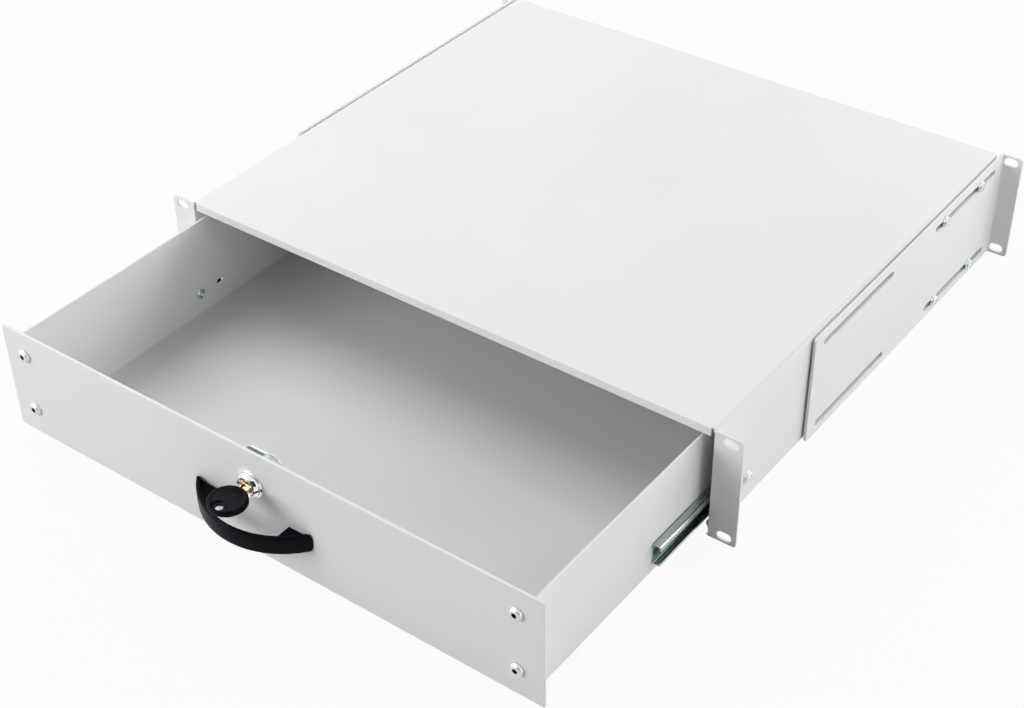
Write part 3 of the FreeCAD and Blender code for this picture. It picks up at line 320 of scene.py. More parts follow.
def add_form(form, other):
    """Put the faces of another bmesh into a bmesh. The other one is used up."""
    mesh = as_mesh("added", other)
    form.from_mesh(mesh)
    bpy.data.meshes.remove(mesh)


def placed(form, matrix):
    """Move all of a bmesh by a matrix."""
    bmesh.ops.transform(form, matrix=matrix, verts=form.verts)
    return form


def finished(name, form, node, slot_name, material=None, sharp=SHARP):
    """Turn a bmesh into a piece that rides with a CAD node's body and stands for that node."""
    bmesh.ops.recalc_face_normals(form, faces=form.faces)
    mesh = as_mesh(name, form)
    mesh.shade_smooth()
    mesh.set_sharp_from_angle(angle=sharp)
    mesh.materials.append(material or FINISHES[slot_name])
    piece = linked(name, mesh)
    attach(piece, BODY_OF[node])
    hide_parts(node)
    return piece


def joined(node):
    """The CAD node's mesh with its corners joined."""
    form = bmesh.new()
    form.from_mesh(frame["nodes"][node].data)
    bmesh.ops.remove_doubles(form, verts=form.verts, dist=SAME_POINT)
    return form


def cleaned(node):
    """The CAD node's mesh with its corners joined and its flat faces whole."""
    form = joined(node)
    bmesh.ops.dissolve_limit(form, angle_limit=FLAT, verts=form.verts, edges=form.edges)
    return form


def broken_edges(piece, width, angle, miter="MITER_SHARP"):
    """Bevel every edge of a piece that turns by more than an angle in degrees."""
    bevel = piece.modifiers.new("edge", "BEVEL")
    bevel.width = width * MM
    bevel.segments = EDGE_SEGMENTS
    bevel.limit_method = "ANGLE"
    bevel.angle_limit = math.radians(angle)
    bevel.harden_normals = True
    bevel.miter_outer = miter


def dressed(name, node, slot_name, width):
    """The node's own shape with every sharp edge broken, as the coat leaves it."""
    piece = finished(name, cleaned(node), node, slot_name)
    broken_edges(piece, width, SHEET_TURN, "MITER_ARC")
    return piece


def paint_faces(piece, material, chosen):
    """Give the chosen faces of a piece a second material."""
    piece.data.materials.append(material)
    for face in piece.data.polygons:
        if chosen(face):
            face.material_index = 1


def paint_recess_shade(piece, node):
    """Give the faces inside a slide's section, all but its ends, a dark zinc as painted shade."""
    low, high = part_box(node)

    def inside(face):
        inward = (low + high) / 2 - face.center
        inward.y = 0
        return abs(face.normal.y) < 0.5 and inward.dot(face.normal) > SHADE_DEPTH

    paint_faces(piece, SHADED_ZINC, inside)


def islands(node):
    """The boxes of the loose solids of a CAD node, as (lowest, highest) corners."""
    form = joined(node)
    left = set(form.verts)
    boxes = []
    while left:
        reached = [left.pop()]
        for vert in reached:
            for edge in vert.link_edges:
                other = edge.other_vert(vert)
                if other in left:
                    left.remove(other)
                    reached.append(other)
        low = Vector([min(vert.co[axis] for vert in reached) for axis in range(3)])
        high = Vector([max(vert.co[axis] for vert in reached) for axis in range(3)])
        boxes.append((low, high))
    form.free()
    return sorted(boxes, key=lambda item: tuple(round(v, 5) for v in item[0]))


def skin(form, loops):
    """Faces from each loop of points to the next. A loop of one point is the tip of a fan."""
    for lower, upper in zip(loops, loops[1:]):
        count = max(len(lower), len(upper))
        for index in range(count):
            after = (index + 1) % count
            if len(lower) == 1:
                form.faces.new((lower[0], upper[index], upper[after]))
            elif len(upper) == 1:
                form.faces.new((lower[after], lower[index], upper[0]))
            else:
                form.faces.new((lower[index], lower[after], upper[after], upper[index]))


def lathe(rows, segments, centre=(0, 0), thread=None):
    """Turn (radius, height) rows in mm about Z. A radius of zero closes the form.

    thread is (low height, high height, pitch, depth) of a stretch that is threaded."""
    form = bmesh.new()
    loops = []
    for radius, height in rows:
        if radius == 0:
            loops.append([form.verts.new((centre[0] * MM, centre[1] * MM, height * MM))])
            continue
        loop = []
        for index in range(segments):
            turn = 2 * math.pi * index / segments
            size = radius
            if thread and thread[0] <= height <= thread[1]:
                phase = (height / thread[2] + index / segments) % 1
                size -= thread[3] * abs(2 * phase - 1)
            loop.append(form.verts.new(((centre[0] + size * math.cos(turn)) * MM,
                                        (centre[1] + size * math.sin(turn)) * MM, height * MM)))
        loops.append(loop)
    skin(form, loops)
    if rows[0] == rows[-1]:
        bmesh.ops.remove_doubles(form, verts=loops[0] + loops[-1], dist=SAME_POINT)
    return form


def arc_rows(centre, radius, start, stop, steps=4):
    """(radius, height) rows round a small arc, by angles in degrees."""
    rows = []
    for index in range(steps + 1):
        turn = math.radians(start + (stop - start) * index / steps)
        rows.append((centre[0] + radius * math.cos(turn), centre[1] + radius * math.sin(turn)))
    return rows


def bore_rows(radius, low, high):
    """The rows of a plain round drill."""
    return [(0, low), (radius, low), (radius, high), (0, high)]


def subtract(form, cutter):
    """Cut one closed bmesh out of another, exactly. Both are used up."""
    made = []
    for item in (form, cutter):
        bmesh.ops.recalc_face_normals(item, faces=item.faces)
        made.append(linked("cut", as_mesh("cut", item)))
    modifier = made[0].modifiers.new("cut", "BOOLEAN")
    modifier.operation = "DIFFERENCE"
    modifier.solver = "EXACT"
    modifier.object = made[1]
    bpy.context.view_layer.update()
    result = made[0].evaluated_get(bpy.context.evaluated_depsgraph_get()).to_mesh()
    cut_form = bmesh.new()
    cut_form.from_mesh(result)
    for holder in made:
        mesh = holder.data
        bpy.data.objects.remove(holder)
        bpy.data.meshes.remove(mesh)
    return cut_form


def prism(outline, low, high, low_outline=None):
    """A prism between two heights in mm, tapered where its lower outline is another one."""
    form = bmesh.new()
    upper = [form.verts.new((x * MM, y * MM, high * MM)) for x, y in outline]
    lower = [form.verts.new((x * MM, y * MM, low * MM)) for x, y in low_outline or outline]
    form.faces.new(upper)
    form.faces.new(list(reversed(lower)))
    for index in range(len(upper)):
        after = (index + 1) % len(upper)
        form.faces.new((upper[after], upper[index], lower[index], lower[after]))
    return form


def cross(reach, half):
    """The outline of a cross, in mm."""
    return [(reach, -half), (reach, half), (half, half), (half, reach), (-half, reach), (-half, half),
            (-reach, half), (-reach, -half), (-half, -half), (-half, -reach), (half, -reach), (half, -half)]


def regular(radius, sides):
    """The outline of a regular polygon."""
    turns = [2 * math.pi * index / sides for index in range(sides)]
    return [(radius * math.cos(turn), radius * math.sin(turn)) for turn in turns]


def rectangle(half_x, half_y):
    """The outline of a rectangle, by half its sides."""
    return [(-half_x, -half_y), (half_x, -half_y), (half_x, half_y), (-half_x, half_y)]


def stamped(source, places):
    """One bmesh with a copy of the source at each matrix. The source is used up."""
    mesh = as_mesh("stamp", source)
    form = bmesh.new()
    for matrix in places:
        start = len(form.verts)
        form.from_mesh(mesh)
        form.verts.ensure_lookup_table()
        bmesh.ops.transform(form, matrix=matrix, verts=form.verts[start:])
    bpy.data.meshes.remove(mesh)
    return form


def facing(direction, place, spin=0.0):
    """The matrix that stands a form made along Z at a place, pointing along a direction."""
    turn = Vector((0, 0, 1)).rotation_difference(Vector(direction)).to_matrix().to_4x4()
    return Matrix.Translation(place) @ turn @ Matrix.Rotation(spin, 4, "Z")


# ---- screws, nuts and rivets, in mm ----------------------------------------------------------

X_AXIS, Y_AXIS = 0, 1
STEPS, BUTTON_STEPS, NUT_STEPS = 32, 40, 48
ROWS_PER_PITCH, NUT_ROWS_PER_PITCH = 6, 4
FIRST_SPIN, NEXT_SPIN = 0.7, 1.9

# Shanks: size across and pitch, thread depth, and the tip's length, chamfer and plain end.
M4, M4_PITCH = 4.0, 0.7
M5, M5_PITCH = 5.0, 0.8
THREAD_DEPTH = 0.28
TIP, TIP_CHAMFER, UNTHREADED_TIP = 0.4, 0.45, 0.35

# Pan heads: width, height and crown radius, and the cross recess as (reach, half width).
PAN_HEAD, PAN_TALL, PAN_DOME = 8.0, 2.4, 7.6
DOME_ARC = (84, 66, 5)
CAM_SCREW_HEAD = 9.0
RECESS_MOUTH, RECESS_FLOOR, RECESS_DEPTH = (2.5, 0.48), (1.15, 0.34), 1.55
WASHER, WASHER_RADIUS, WASHER_EDGE = 0.8, 4.5, 0.16

# Button heads: width, height and flat, the hexagon socket, and where its inside is painted dark as shade.
BUTTON_HEAD, BUTTON_TALL, BUTTON_FLAT, BUTTON_ROWS = 9.6, 2.8, 2.35, 8
SOCKET_FLATS, SOCKET_DEPTH = 3.0, 1.6
SOCKET_CHAMFER, SOCKET_CHAMFER_DEPTH, CONE_SIDES = 0.42, 0.2, 24
DARK_RADIUS, DARK_FROM, DARK_DEPTH = 1.8, 0.02, 1.7

# Rivets: width, height, shank and mandrel.
RIVET_HEAD, RIVET_TALL, RIVET_SHANK, MANDREL, RIVET_ROWS = 6.0, 1.0, 4.0, 1.0, 6

# Nuts: width over the flats, play in the bore, chamfers and threads.
M4_FLATS, M5_FLATS, SPACER_FLATS = 7, 8, 8
LOCK_NUT_FLATS, LOCK_NUT_BORE = 23, 18.1
BARREL_PITCH, BARREL_THREAD = 1.0, 0.35
PLAY, NUT_THREAD_DEPTH = 0.1, 0.2
NUT_CHAMFER_AT, NUT_SLOPE, SPACER_SLOPE = 0.97, math.tan(math.radians(30)), 0.12
NUT_SINK, NUT_SINK_SHARE = 0.3, 0.15


def shank(size, low, high, pitch):
    """Rows down a threaded shank from high to low, with a chamfered tip."""
    run = high - low - TIP
    count = max(2, int(run / pitch * ROWS_PER_PITCH))
    rows = [(size / 2, high - run * index / count) for index in range(count + 1)]
    return rows + [(size / 2 - TIP_CHAMFER, low), (0, low)]


def pan_screw(grip, washer=0.0, head=PAN_HEAD):
    """A cross-recess pan screw along Z with its tip at -grip. Its washer stands on z = 0."""
    rim = head / 2
    top = washer + PAN_TALL
    rows = [(0, top)]
    dome = arc_rows((0, top - PAN_DOME), PAN_DOME, *DOME_ARC)
    rows += [(radius, height) for radius, height in dome if radius < rim * 0.86]
    shoulder = rows[-1][1]
    rows += [(rim * 0.95, shoulder - 0.32), (rim * 0.995, shoulder - 0.75), (rim, washer + 0.35),
             (rim * 0.985, washer + 0.1), (rim * 0.94, washer), (M4 / 2, washer)]
    rows += shank(M4, -grip, washer - 0.05, M4_PITCH)
    form = lathe(rows, STEPS, thread=(-grip + UNTHREADED_TIP, washer - 0.2, M4_PITCH, THREAD_DEPTH))
    recess = prism(cross(*RECESS_MOUTH), top - RECESS_DEPTH, top + 0.25, cross(*RECESS_FLOOR))
    form = subtract(form, recess)
    if washer:
        inner, flat = M4 / 2 + 0.1, WASHER_RADIUS - WASHER_EDGE
        ring = [(inner, 0), (flat, 0), (WASHER_RADIUS, WASHER_EDGE), (WASHER_RADIUS, washer - WASHER_EDGE),
                (flat, washer), (inner, washer), (inner, 0)]
        add_form(form, lathe(ring, STEPS))
    return form


def button_screw(grip):
    """A button-head screw with a hexagon socket, along Z."""
    rim = BUTTON_HEAD / 2
    rows = [(0, BUTTON_TALL), (1.9, BUTTON_TALL), (BUTTON_FLAT, BUTTON_TALL - 0.05)]
    for index in range(1, BUTTON_ROWS):
        turn = index / BUTTON_ROWS * math.pi / 2
        rows.append((BUTTON_FLAT + (rim - BUTTON_FLAT) * math.sin(turn),
                     0.45 + (BUTTON_TALL - 0.5) * math.cos(turn)))
    rows += [(rim, 0.4), (rim - 0.04, 0.15), (rim - 0.2, 0), (M5 / 2, 0)]
    rows += shank(M5, -grip, -0.05, M5_PITCH)
    form = lathe(rows, BUTTON_STEPS, thread=(-grip + UNTHREADED_TIP, -0.2, M5_PITCH, THREAD_DEPTH))
    corner = SOCKET_FLATS / 2 / math.cos(math.pi / 6)
    form = subtract(form, prism(regular(corner, 6), BUTTON_TALL - SOCKET_DEPTH, BUTTON_TALL + 0.3))
    wide, narrow = regular(corner + SOCKET_CHAMFER, CONE_SIDES), regular(corner - 0.12, CONE_SIDES)
    return subtract(form, prism(wide, BUTTON_TALL - SOCKET_CHAMFER_DEPTH, BUTTON_TALL + 0.25, narrow))


def rivet(grip):
    """A domed blind rivet with its broken mandrel in the middle."""
    rim, shaft, top, edge = RIVET_HEAD / 2, RIVET_SHANK / 2, RIVET_TALL, 0.18
    rows = [(0, top - 0.35), (0.75, top - 0.3), (0.8, top - 0.05), (MANDREL, top)]
    for index in range(1, RIVET_ROWS + 1):
        turn = index / RIVET_ROWS * math.pi / 2
        rows.append((MANDREL + (rim - MANDREL) * math.sin(turn), edge + (top - edge) * math.cos(turn)))
    rows += [(rim - 0.12, 0), (shaft, 0), (shaft, -grip + 0.2), (shaft - 0.2, -grip), (0, -grip)]
    return lathe(rows, STEPS)


def nut(flats, bore, thick, pitch, crown=True):
    """A hexagon nut along Z from z = 0, with chamfered corners and a threaded bore."""
    form = bmesh.new()
    half, hole = flats / 2, bore / 2
    turns = [2 * math.pi * index / NUT_STEPS for index in range(NUT_STEPS)]
    sides = [half / math.cos(turn % (math.pi / 3) - math.pi / 6) for turn in turns]
    slope = NUT_SLOPE if crown else SPACER_SLOPE
    rings = []

    def ring(radii, heights):
        places = [(radius * math.cos(turn) * MM, radius * math.sin(turn) * MM, height * MM)
                  for turn, radius, height in zip(turns, radii, heights)]
        rings.append([form.verts.new(place) for place in places])

    def level(radius, height):
        ring([radius] * NUT_STEPS, [height] * NUT_STEPS)

    face = half * NUT_CHAMFER_AT
    drop = [max(0.0, (side - face) * slope) for side in sides]
    sink = min(NUT_SINK, thick * NUT_SINK_SHARE)
    level(hole, thick - sink)
    level(hole + sink, thick)
    level(face, thick)
    ring(sides, [thick - item for item in drop])
    ring(sides, drop)
    level(face, 0)
    level(hole + sink, 0)
    level(hole, sink)
    inside = thick - 2 * sink
    count = max(2, int(inside / pitch * NUT_ROWS_PER_PITCH))
    for index in range(1, count):
        height = sink + inside * index / count
        phases = [(height / pitch + step / NUT_STEPS) % 1 for step in range(NUT_STEPS)]
        ring([hole + NUT_THREAD_DEPTH * abs(2 * phase - 1) for phase in phases], [height] * NUT_STEPS)
    skin(form, rings + rings[:1])
    return form


def axis_way(axis, sign=1):
    """The unit vector along an axis, or against it."""
    direction = Vector((0, 0, 0))
    direction[axis] = sign
    return direction


def screw_set(name, node, make, above, axis, outward, mirrored=False):
    """Screws at a node's solids. above is how far a head stands over its seat.

    The heads look along the axis, against it where outward is -1. Where mirrored, that holds for
    the right half, and the left half is its mirror image."""
    low, high = islands(node)[0]
    grip = (high[axis] - low[axis]) / MM - above
    matrices = []
    for index, (low, high) in enumerate(islands(node)):
        middle = (low + high) / 2
        sign = -outward if mirrored and middle.x <= 0 else outward
        tip = middle.copy()
        tip[axis] = low[axis] if sign > 0 else high[axis]
        direction = axis_way(axis, sign)
        matrices.append(facing(direction, tip + direction * grip * MM, FIRST_SPIN + NEXT_SPIN * index))
    return finished(name, stamped(make(grip), matrices), node, "zinc_steel", SCREW_ZINC)


def nut_set(name, node, flats, bore, pitch, axis, crown=True, spin=0.0, material=SCREW_ZINC):
    """Nuts at a node's solids, as thick as they are."""
    low, high = islands(node)[0]
    thick = (high[axis] - low[axis]) / MM
    matrices = []
    for low, high in islands(node):
        base = (low + high) / 2
        base[axis] = low[axis]
        matrices.append(facing(axis_way(axis), base, spin))
    form = stamped(nut(flats, bore, thick, pitch, crown), matrices)
    return finished(name, form, node, "zinc_steel", material)


def paint_socket_shade(piece, node):
    """Satin heads, with the inside of their hexagon sockets painted near black as shade."""
    axes = [(low + high) / 2 for low, high in islands(node)]
    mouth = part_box(node)[0].y + DARK_FROM * MM

    def inside(face):
        middle = face.center
        off = min(math.hypot(middle.x - axis.x, middle.z - axis.z) for axis in axes)
        return off < DARK_RADIUS * MM and mouth < middle.y < mouth + DARK_DEPTH * MM

    piece.data.materials[0] = SATIN
    paint_faces(piece, SOCKET_SHADE, inside)


def washered(grip):
    return pan_screw(grip, WASHER)


def cam_screw(grip):
    return pan_screw(grip, head=CAM_SCREW_HEAD)


screw_set("bracket_screw_set", "bracket_screws", washered, PAN_TALL + WASHER, X_AXIS, 1, mirrored=True)
screw_set("rail_screw_set", "rail_screws", washered, PAN_TALL + WASHER, X_AXIS, 1, mirrored=True)
screw_set("channel_screw_set", "channel_screws", pan_screw, PAN_TALL, X_AXIS, -1, mirrored=True)
screw_set("handle_screw_set", "handle_screws", pan_screw, PAN_TALL, Y_AXIS, 1)
screw_set("cam_screw_set", "cam_screw", cam_screw, PAN_TALL, Y_AXIS, 1)
panel_set = screw_set("panel_screw_set", "panel_screws", button_screw, BUTTON_TALL, Y_AXIS, -1)
paint_socket_shade(panel_set, "panel_screws")
screw_set("rail_rivet_set", "rail_rivets", rivet, RIVET_TALL, X_AXIS, 1, mirrored=True)

nut_set("panel_nut_set", "panel_nuts", M5_FLATS, M5 + PLAY, M5_PITCH, Y_AXIS, spin=math.pi / 6)
nut_set("bracket_spacer_set", "bracket_spacers", SPACER_FLATS, M4 + PLAY, M4_PITCH, X_AXIS, crown=False)
nut_set("clinch_nut_set", "clinch_nuts", M4_FLATS, M4 + PLAY, M4_PITCH, X_AXIS)
nut_set("lock_nut_ring", "lock_nut", LOCK_NUT_FLATS, LOCK_NUT_BORE, BARREL_PITCH, Y_AXIS, material=CAST)


# ---- sheet metal -----------------------------------------------------------------------------

SHEET_EDGES = {
    "casing": ("casing_shell", 0.28),
    "drawer_tray": ("tray", 0.26),
    "drawer_front": ("front_panel", 0.3),
    "rear_bracket_left": ("bracket_left", 0.35),
    "rear_bracket_right": ("bracket_right", 0.35),
    "cam_keeper": ("lock_keeper", 0.25),
}
SLIDE_EDGE = 0.12
CAGE_EDGE = 0.06
CAM_EDGE = 0.2

for piece_name, (node_name, edge_width) in SHEET_EDGES.items():
    dressed(piece_name, node_name, "powder_grey", edge_width)
# The slides' inner faces and the whole ball cages get the dark zinc of painted shade.
for node_name in ("channel_left", "channel_right", "rail_left", "rail_right"):
    paint_recess_shade(dressed("slide_" + node_name, node_name, "zinc_steel", SLIDE_EDGE), node_name)
for node_name in ("cage_left", "cage_right"):
    dressed("ball_" + node_name, node_name, "zinc_steel", CAGE_EDGE).data.materials[0] = SHADED_ZINC
dressed("cam_plate", "lock_cam", "zinc_steel", CAM_EDGE).data.materials[0] = CAST


# ---- lock, in mm -----------------------------------------------------------------------------

LOCK_STEPS = 72
BEZEL_PROUD, BEZEL_RADIUS, BEZEL_EDGE = 5.0, 10.2, 0.4
BARREL_BORE, BARREL_RADIUS = 6.6, 9.0
# (radius, height) rows: the bezel from its lip down its cone, and the plug's face with its groove.
BEZEL_CONE = [(6.66, -0.6), (6.76, -0.2), (6.95, -0.03), (7.15, 0), (7.38, -0.07), (7.6, -0.26),
              (8.28, -1.06), (8.95, -1.87), (9.13, -2.15), (9.22, -2.5), (9.24, -3.4), (9.28, -3.7),
              (9.4, -3.82)]
FACE_RADIUS, FACE_EDGE = 6.5, 0.15
FACE_GROOVE = [(0, 0), (5.0, 0), (5.18, -0.06), (5.25, -0.25), (5.28, -1.3), (6.05, -1.3), (6.1, -0.5)]
BRASS_RADIUS = 5.24
KEYWAY = rectangle(3.8, 1.1)
KEYWAY_DEPTH = 17.0
MOUTH_WIDER, MOUTH_TALLER, MOUTH_DEPTH, THROAT = 1.13, 1.5, 0.55, 0.98
STEM_HALF, STEM_BORE = 3.5, 2.05


def lock_bezel():
    """Barrel with a flanged, conical bezel, a rounded inner lip and a threaded body."""
    total = (LOCK_HIGH.y - LOCK_LOW.y) / MM
    run = total - BEZEL_PROUD - 1.0
    rows = [(BARREL_BORE, -1.5)] + BEZEL_CONE
    rows += arc_rows((BEZEL_RADIUS - BEZEL_EDGE, -4.22), BEZEL_EDGE, 90, 0)
    rows += [(BEZEL_RADIUS, -4.75), (BEZEL_RADIUS - 0.12, -BEZEL_PROUD), (BARREL_RADIUS, -BEZEL_PROUD)]
    count = int(run / BARREL_PITCH * ROWS_PER_PITCH)
    for index in range(count + 1):
        rows.append((BARREL_RADIUS, -BEZEL_PROUD - 0.4 - run * index / count))
    rows += [(BARREL_RADIUS - 0.5, -total), (BARREL_BORE, -total), (BARREL_BORE, -3.0), (BARREL_BORE, -1.5)]
    form = lathe(rows, LOCK_STEPS, thread=(-total + 0.7, -BEZEL_PROUD - 0.5, BARREL_PITCH, BARREL_THREAD))
    piece = finished("lock_bezel", placed(form, facing((0, -1, 0), LOCK)), "lock_barrel", "chrome")
    edge = LOCK_LOW.y + (BEZEL_PROUD + 0.2) * MM
    paint_faces(piece, CAST, lambda face: face.center.y > edge)


def lock_face():
    """The turning plug: a ring groove, a keyway with broken edges and the square, drilled stem."""
    low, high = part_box("lock_plug")
    total = (high.y - low.y) / MM
    barrel = (LOCK_HIGH.y - low.y) / MM
    rows = FACE_GROOVE + arc_rows((FACE_RADIUS - FACE_EDGE, -0.5), FACE_EDGE, 150, 0)
    rows += [(FACE_RADIUS, -3.0), (FACE_RADIUS, -barrel), (0, -barrel)]
    form = subtract(lathe(rows, LOCK_STEPS), prism(KEYWAY, -KEYWAY_DEPTH, 0.3))
    mouth = [(x * MOUTH_WIDER, y * MOUTH_TALLER) for x, y in KEYWAY]
    throat = [(x * THROAT, y * THROAT) for x, y in KEYWAY]
    form = subtract(form, prism(mouth, -MOUTH_DEPTH, 0.12, throat))
    stem = prism(rectangle(STEM_HALF, STEM_HALF), -total, -barrel + 0.05)
    add_form(form, subtract(stem, lathe(bore_rows(STEM_BORE, -total - 1, -barrel + 0.02), STEPS)))
    matrix = facing((0, -1, 0), Vector((LOCK.x, low.y, LOCK.z)))
    piece = finished("lock_face", placed(form, matrix), "lock_plug", "brass")

    def outer_ring(face):
        return math.hypot(face.center.x - LOCK.x, face.center.z - LOCK.z) > BRASS_RADIUS * MM

    paint_faces(piece, FINISHES["chrome"], outer_ring)


lock_bezel()
lock_face()


# ---- key, in mm ------------------------------------------------------------------------------

BOW_STEPS, BOW_RINGS, BOW_EDGE_RINGS = 144, 18, 5
BOW_EDGE, BOW_RIM, BOW_SINK = 1.4, 3.0, 0.35
BOW_SHARP = math.radians(40)
BASIN_HALF, BASIN_RADIUS, BASIN_SQUEEZE = 0.7, 3.9, 0.86
NECK_HALF, NECK_START = 4.4, 4.6
SHORT_BLEND, LONG_BLEND = 0.8, 0.9
HOLE_PLACE, HOLE_RADIUS, HOLE_STEPS = (0.0, -7.5), 2.7, 40
RIB_DEPTH, RIB_COUNT, RIB_SHARE, RIB_END = 0.22, 72, 0.75, -0.25
GROOVE_NEAR, GROOVE_FAR = -1.55, -0.65
GROOVE_START, GROOVE_DEPTH = 9.4, 0.35


def smooth(share):
    """A soft step from 0 to 1 as the share goes from 0 to 1."""
    share = min(1.0, max(0.0, share))
    return share * share * (3 - 2 * share)


def bow_height(x, y, reach, radius, half):
    """How high a face of the bow stands: sunk inside its rim, deeper round the ring hole."""
    if reach > radius - BOW_EDGE:
        share = (reach - (radius - BOW_EDGE)) / BOW_EDGE
        return half - BOW_EDGE + BOW_EDGE * math.sqrt(max(0.0, 1 - share * share))
    rim = smooth((reach - (radius - BOW_RIM)) / LONG_BLEND)
    off_hole = math.hypot((x - HOLE_PLACE[0]) * BASIN_SQUEEZE, y - HOLE_PLACE[1])
    basin = 1 - smooth((off_hole - BASIN_RADIUS) / SHORT_BLEND)
    neck = (1 - smooth((abs(x) - NECK_HALF) / SHORT_BLEND)) * smooth((y - NECK_START) / LONG_BLEND)
    sunk = half - BOW_SINK * (1 - max(rim, neck))
    return sunk - (sunk - BASIN_HALF) * basin


def key_bow():
    """The round moulded bow: sunk faces, a basin round the ring hole and a ribbed far rim."""
    low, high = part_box("key_bow")
    radius = (high.y - low.y) / 2 / MM
    half = (high.z - low.z) / 2 / MM
    profile = [(radius - BOW_EDGE) * index / BOW_RINGS for index in range(BOW_RINGS + 1)]
    for index in range(1, BOW_EDGE_RINGS + 1):
        profile.append(radius - BOW_EDGE + BOW_EDGE * math.sin(index / BOW_EDGE_RINGS * math.pi / 2))
    form = bmesh.new()
    rims = []
    for sign in (1, -1):
        rings = [[form.verts.new((0, 0, sign * bow_height(0, 0, 0, radius, half) * MM))]]
        for reach in profile[1:]:
            loop = []
            for index in range(BOW_STEPS):
                turn = 2 * math.pi * index / BOW_STEPS
                x, y = reach * math.cos(turn), reach * math.sin(turn)
                rib = 0.0
                if reach > radius - BOW_EDGE * RIB_SHARE and math.sin(turn) < RIB_END:
                    rib = RIB_DEPTH * (0.5 + 0.5 * math.cos(turn * RIB_COUNT))
                size = (reach - rib) / reach
                height = sign * bow_height(x, y, reach, radius, half)
                loop.append(form.verts.new((x * size * MM, y * size * MM, height * MM)))
            rings.append(loop)
        skin(form, rings)
        rims.append(rings[-1])
    skin(form, rims)
    form = subtract(form, lathe(bore_rows(HOLE_RADIUS, -half - 1, half + 1), HOLE_STEPS, HOLE_PLACE))
    placed(form, Matrix.Translation((low + high) / 2))
    finished("key_head", form, "key_bow", "black_plastic", sharp=BOW_SHARP)


def key_blank():
    """The notched blade with a milled groove along each face."""
    low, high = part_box("key_blade")
    form = cleaned("key_blade")
    thick = (high.z - low.z) / MM
    length = (high.y - low.y) / MM
    start, end = -length / 2 + GROOVE_START, length / 2 + 1
    groove = [(GROOVE_NEAR, start), (GROOVE_FAR, start), (GROOVE_FAR, end), (GROOVE_NEAR, end)]
    bottom, above = thick / 2 - GROOVE_DEPTH, thick / 2 + 0.3
    for cutter in (prism(groove, bottom, above), prism(groove, -above, -bottom)):
        form = subtract(form, placed(cutter, Matrix.Translation((low + high) / 2)))
    finished("key_blade_cut", form, "key_blade", "zinc_steel", NICKEL)


key_bow()
key_blank()


# ---- handle, in mm ---------------------------------------------------------------------------

HANDLE_STEPS, BAND_ROWS = 72, 5
BAND_THICK, BAND_SOFT, BAND_CROWN = 3.0, 1.05, 0.25
END_SWEEP, END_POWER = 0.034, 2.2
FOOT_REACH, FOOT_HALF = 20.0, 3.0
FOOT_HOLE_IN, FOOT_HOLE_RADIUS, FOOT_HOLE_DEPTH = 13.0, 2.05, 9
FOOT_HOLE_STEPS = 24
HANDLE_EDGE, HANDLE_TURN = 0.35, 60


def band_section(tall):
    """The band's section, as (outward, upward) points round it: rounded outside and inside."""
    corner = arc_rows((BAND_THICK / 2 - BAND_SOFT, BAND_SOFT - tall / 2), BAND_SOFT, -90, 0)
    flat = [(BAND_THICK / 2, (index / BAND_ROWS - 1) * (tall / 2 - BAND_SOFT))
            for index in range(1, 2 * BAND_ROWS)]
    outside = corner + flat + [(offset, -height) for offset, height in reversed(corner)]
    return outside + [(-offset, height) for offset, height in reversed(outside)]


def handle_band(middle, bow, reach, centre, tall):
    """The crescent: the section swept round the bow, its two ends drawn in above and below."""
    form = bmesh.new()
    section = band_section(tall)
    count = len(section)
    loops = []
    for step in range(HANDLE_STEPS + 1):
        share = -1 + 2 * step / HANDLE_STEPS
        loop = []
        for offset, height in section:
            radius = bow - BAND_THICK / 2 + offset
            off_middle = 2 * abs(height) / tall
            if offset > 0:
                radius -= BAND_CROWN * off_middle ** 2
            end = math.acos(min(1.0, (bow - reach) / radius)) - END_SWEEP * off_middle ** END_POWER
            turn = end * share
            loop.append(form.verts.new((middle.x + radius * math.sin(turn) * MM,
                                        (centre - radius * math.cos(turn)) * MM,
                                        middle.z + height * MM)))
        loops.append(loop)
    skin(form, loops)
    for loop in (loops[0], loops[-1]):
        for index in range(count // 2 - 1):
            form.faces.new((loop[index], loop[index + 1], loop[count - 2 - index], loop[count - 1 - index]))
    return form


def handle_foot(sign, span, bow, centre, back, reach):
    """The three-cornered foot behind one end of the band, drilled for its screw."""
    inner = math.sqrt((bow - BAND_THICK) ** 2 - (bow - reach) ** 2)
    line = bow - BAND_THICK / 2
    foot_in = span - FOOT_REACH
    foot_tip = centre - math.sqrt(line * line - foot_in * foot_in)
    corners = [(sign * foot_in, back), (sign * (inner + BAND_THICK / 4), back), (sign * foot_in, foot_tip)]
    drill = lathe(bore_rows(FOOT_HOLE_RADIUS, -1, FOOT_HOLE_DEPTH), FOOT_HOLE_STEPS)
    place = Vector((sign * (span - FOOT_HOLE_IN) * MM, back * MM, 0))
    return subtract(prism(corners, -FOOT_HALF, FOOT_HALF), placed(drill, facing((0, -1, 0), place)))


def bow_handle():
    """A crescent of moulded band with soft edges, and a gusset foot behind each end."""
    low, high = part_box("handle")
    middle = (low + high) / 2
    back = high.y / MM
    reach = (high.y - low.y) / MM
    span = (high.x - low.x) / 2 / MM
    bow = (span * span + reach * reach) / (2 * reach)
    centre = back - reach + bow
    form = handle_band(middle, bow, reach, centre, (high.z - low.z) / MM)
    feet = bmesh.new()
    for sign in (1, -1):
        add_form(feet, handle_foot(sign, span, bow, centre, back, reach))
    add_form(form, placed(feet, Matrix.Translation((middle.x, 0, middle.z))))
    broken_edges(finished("bow_handle", form, "handle", "black_plastic"), HANDLE_EDGE, HANDLE_TURN)


bow_handle()


# ---- stage and light -------------------------------------------------------------------------

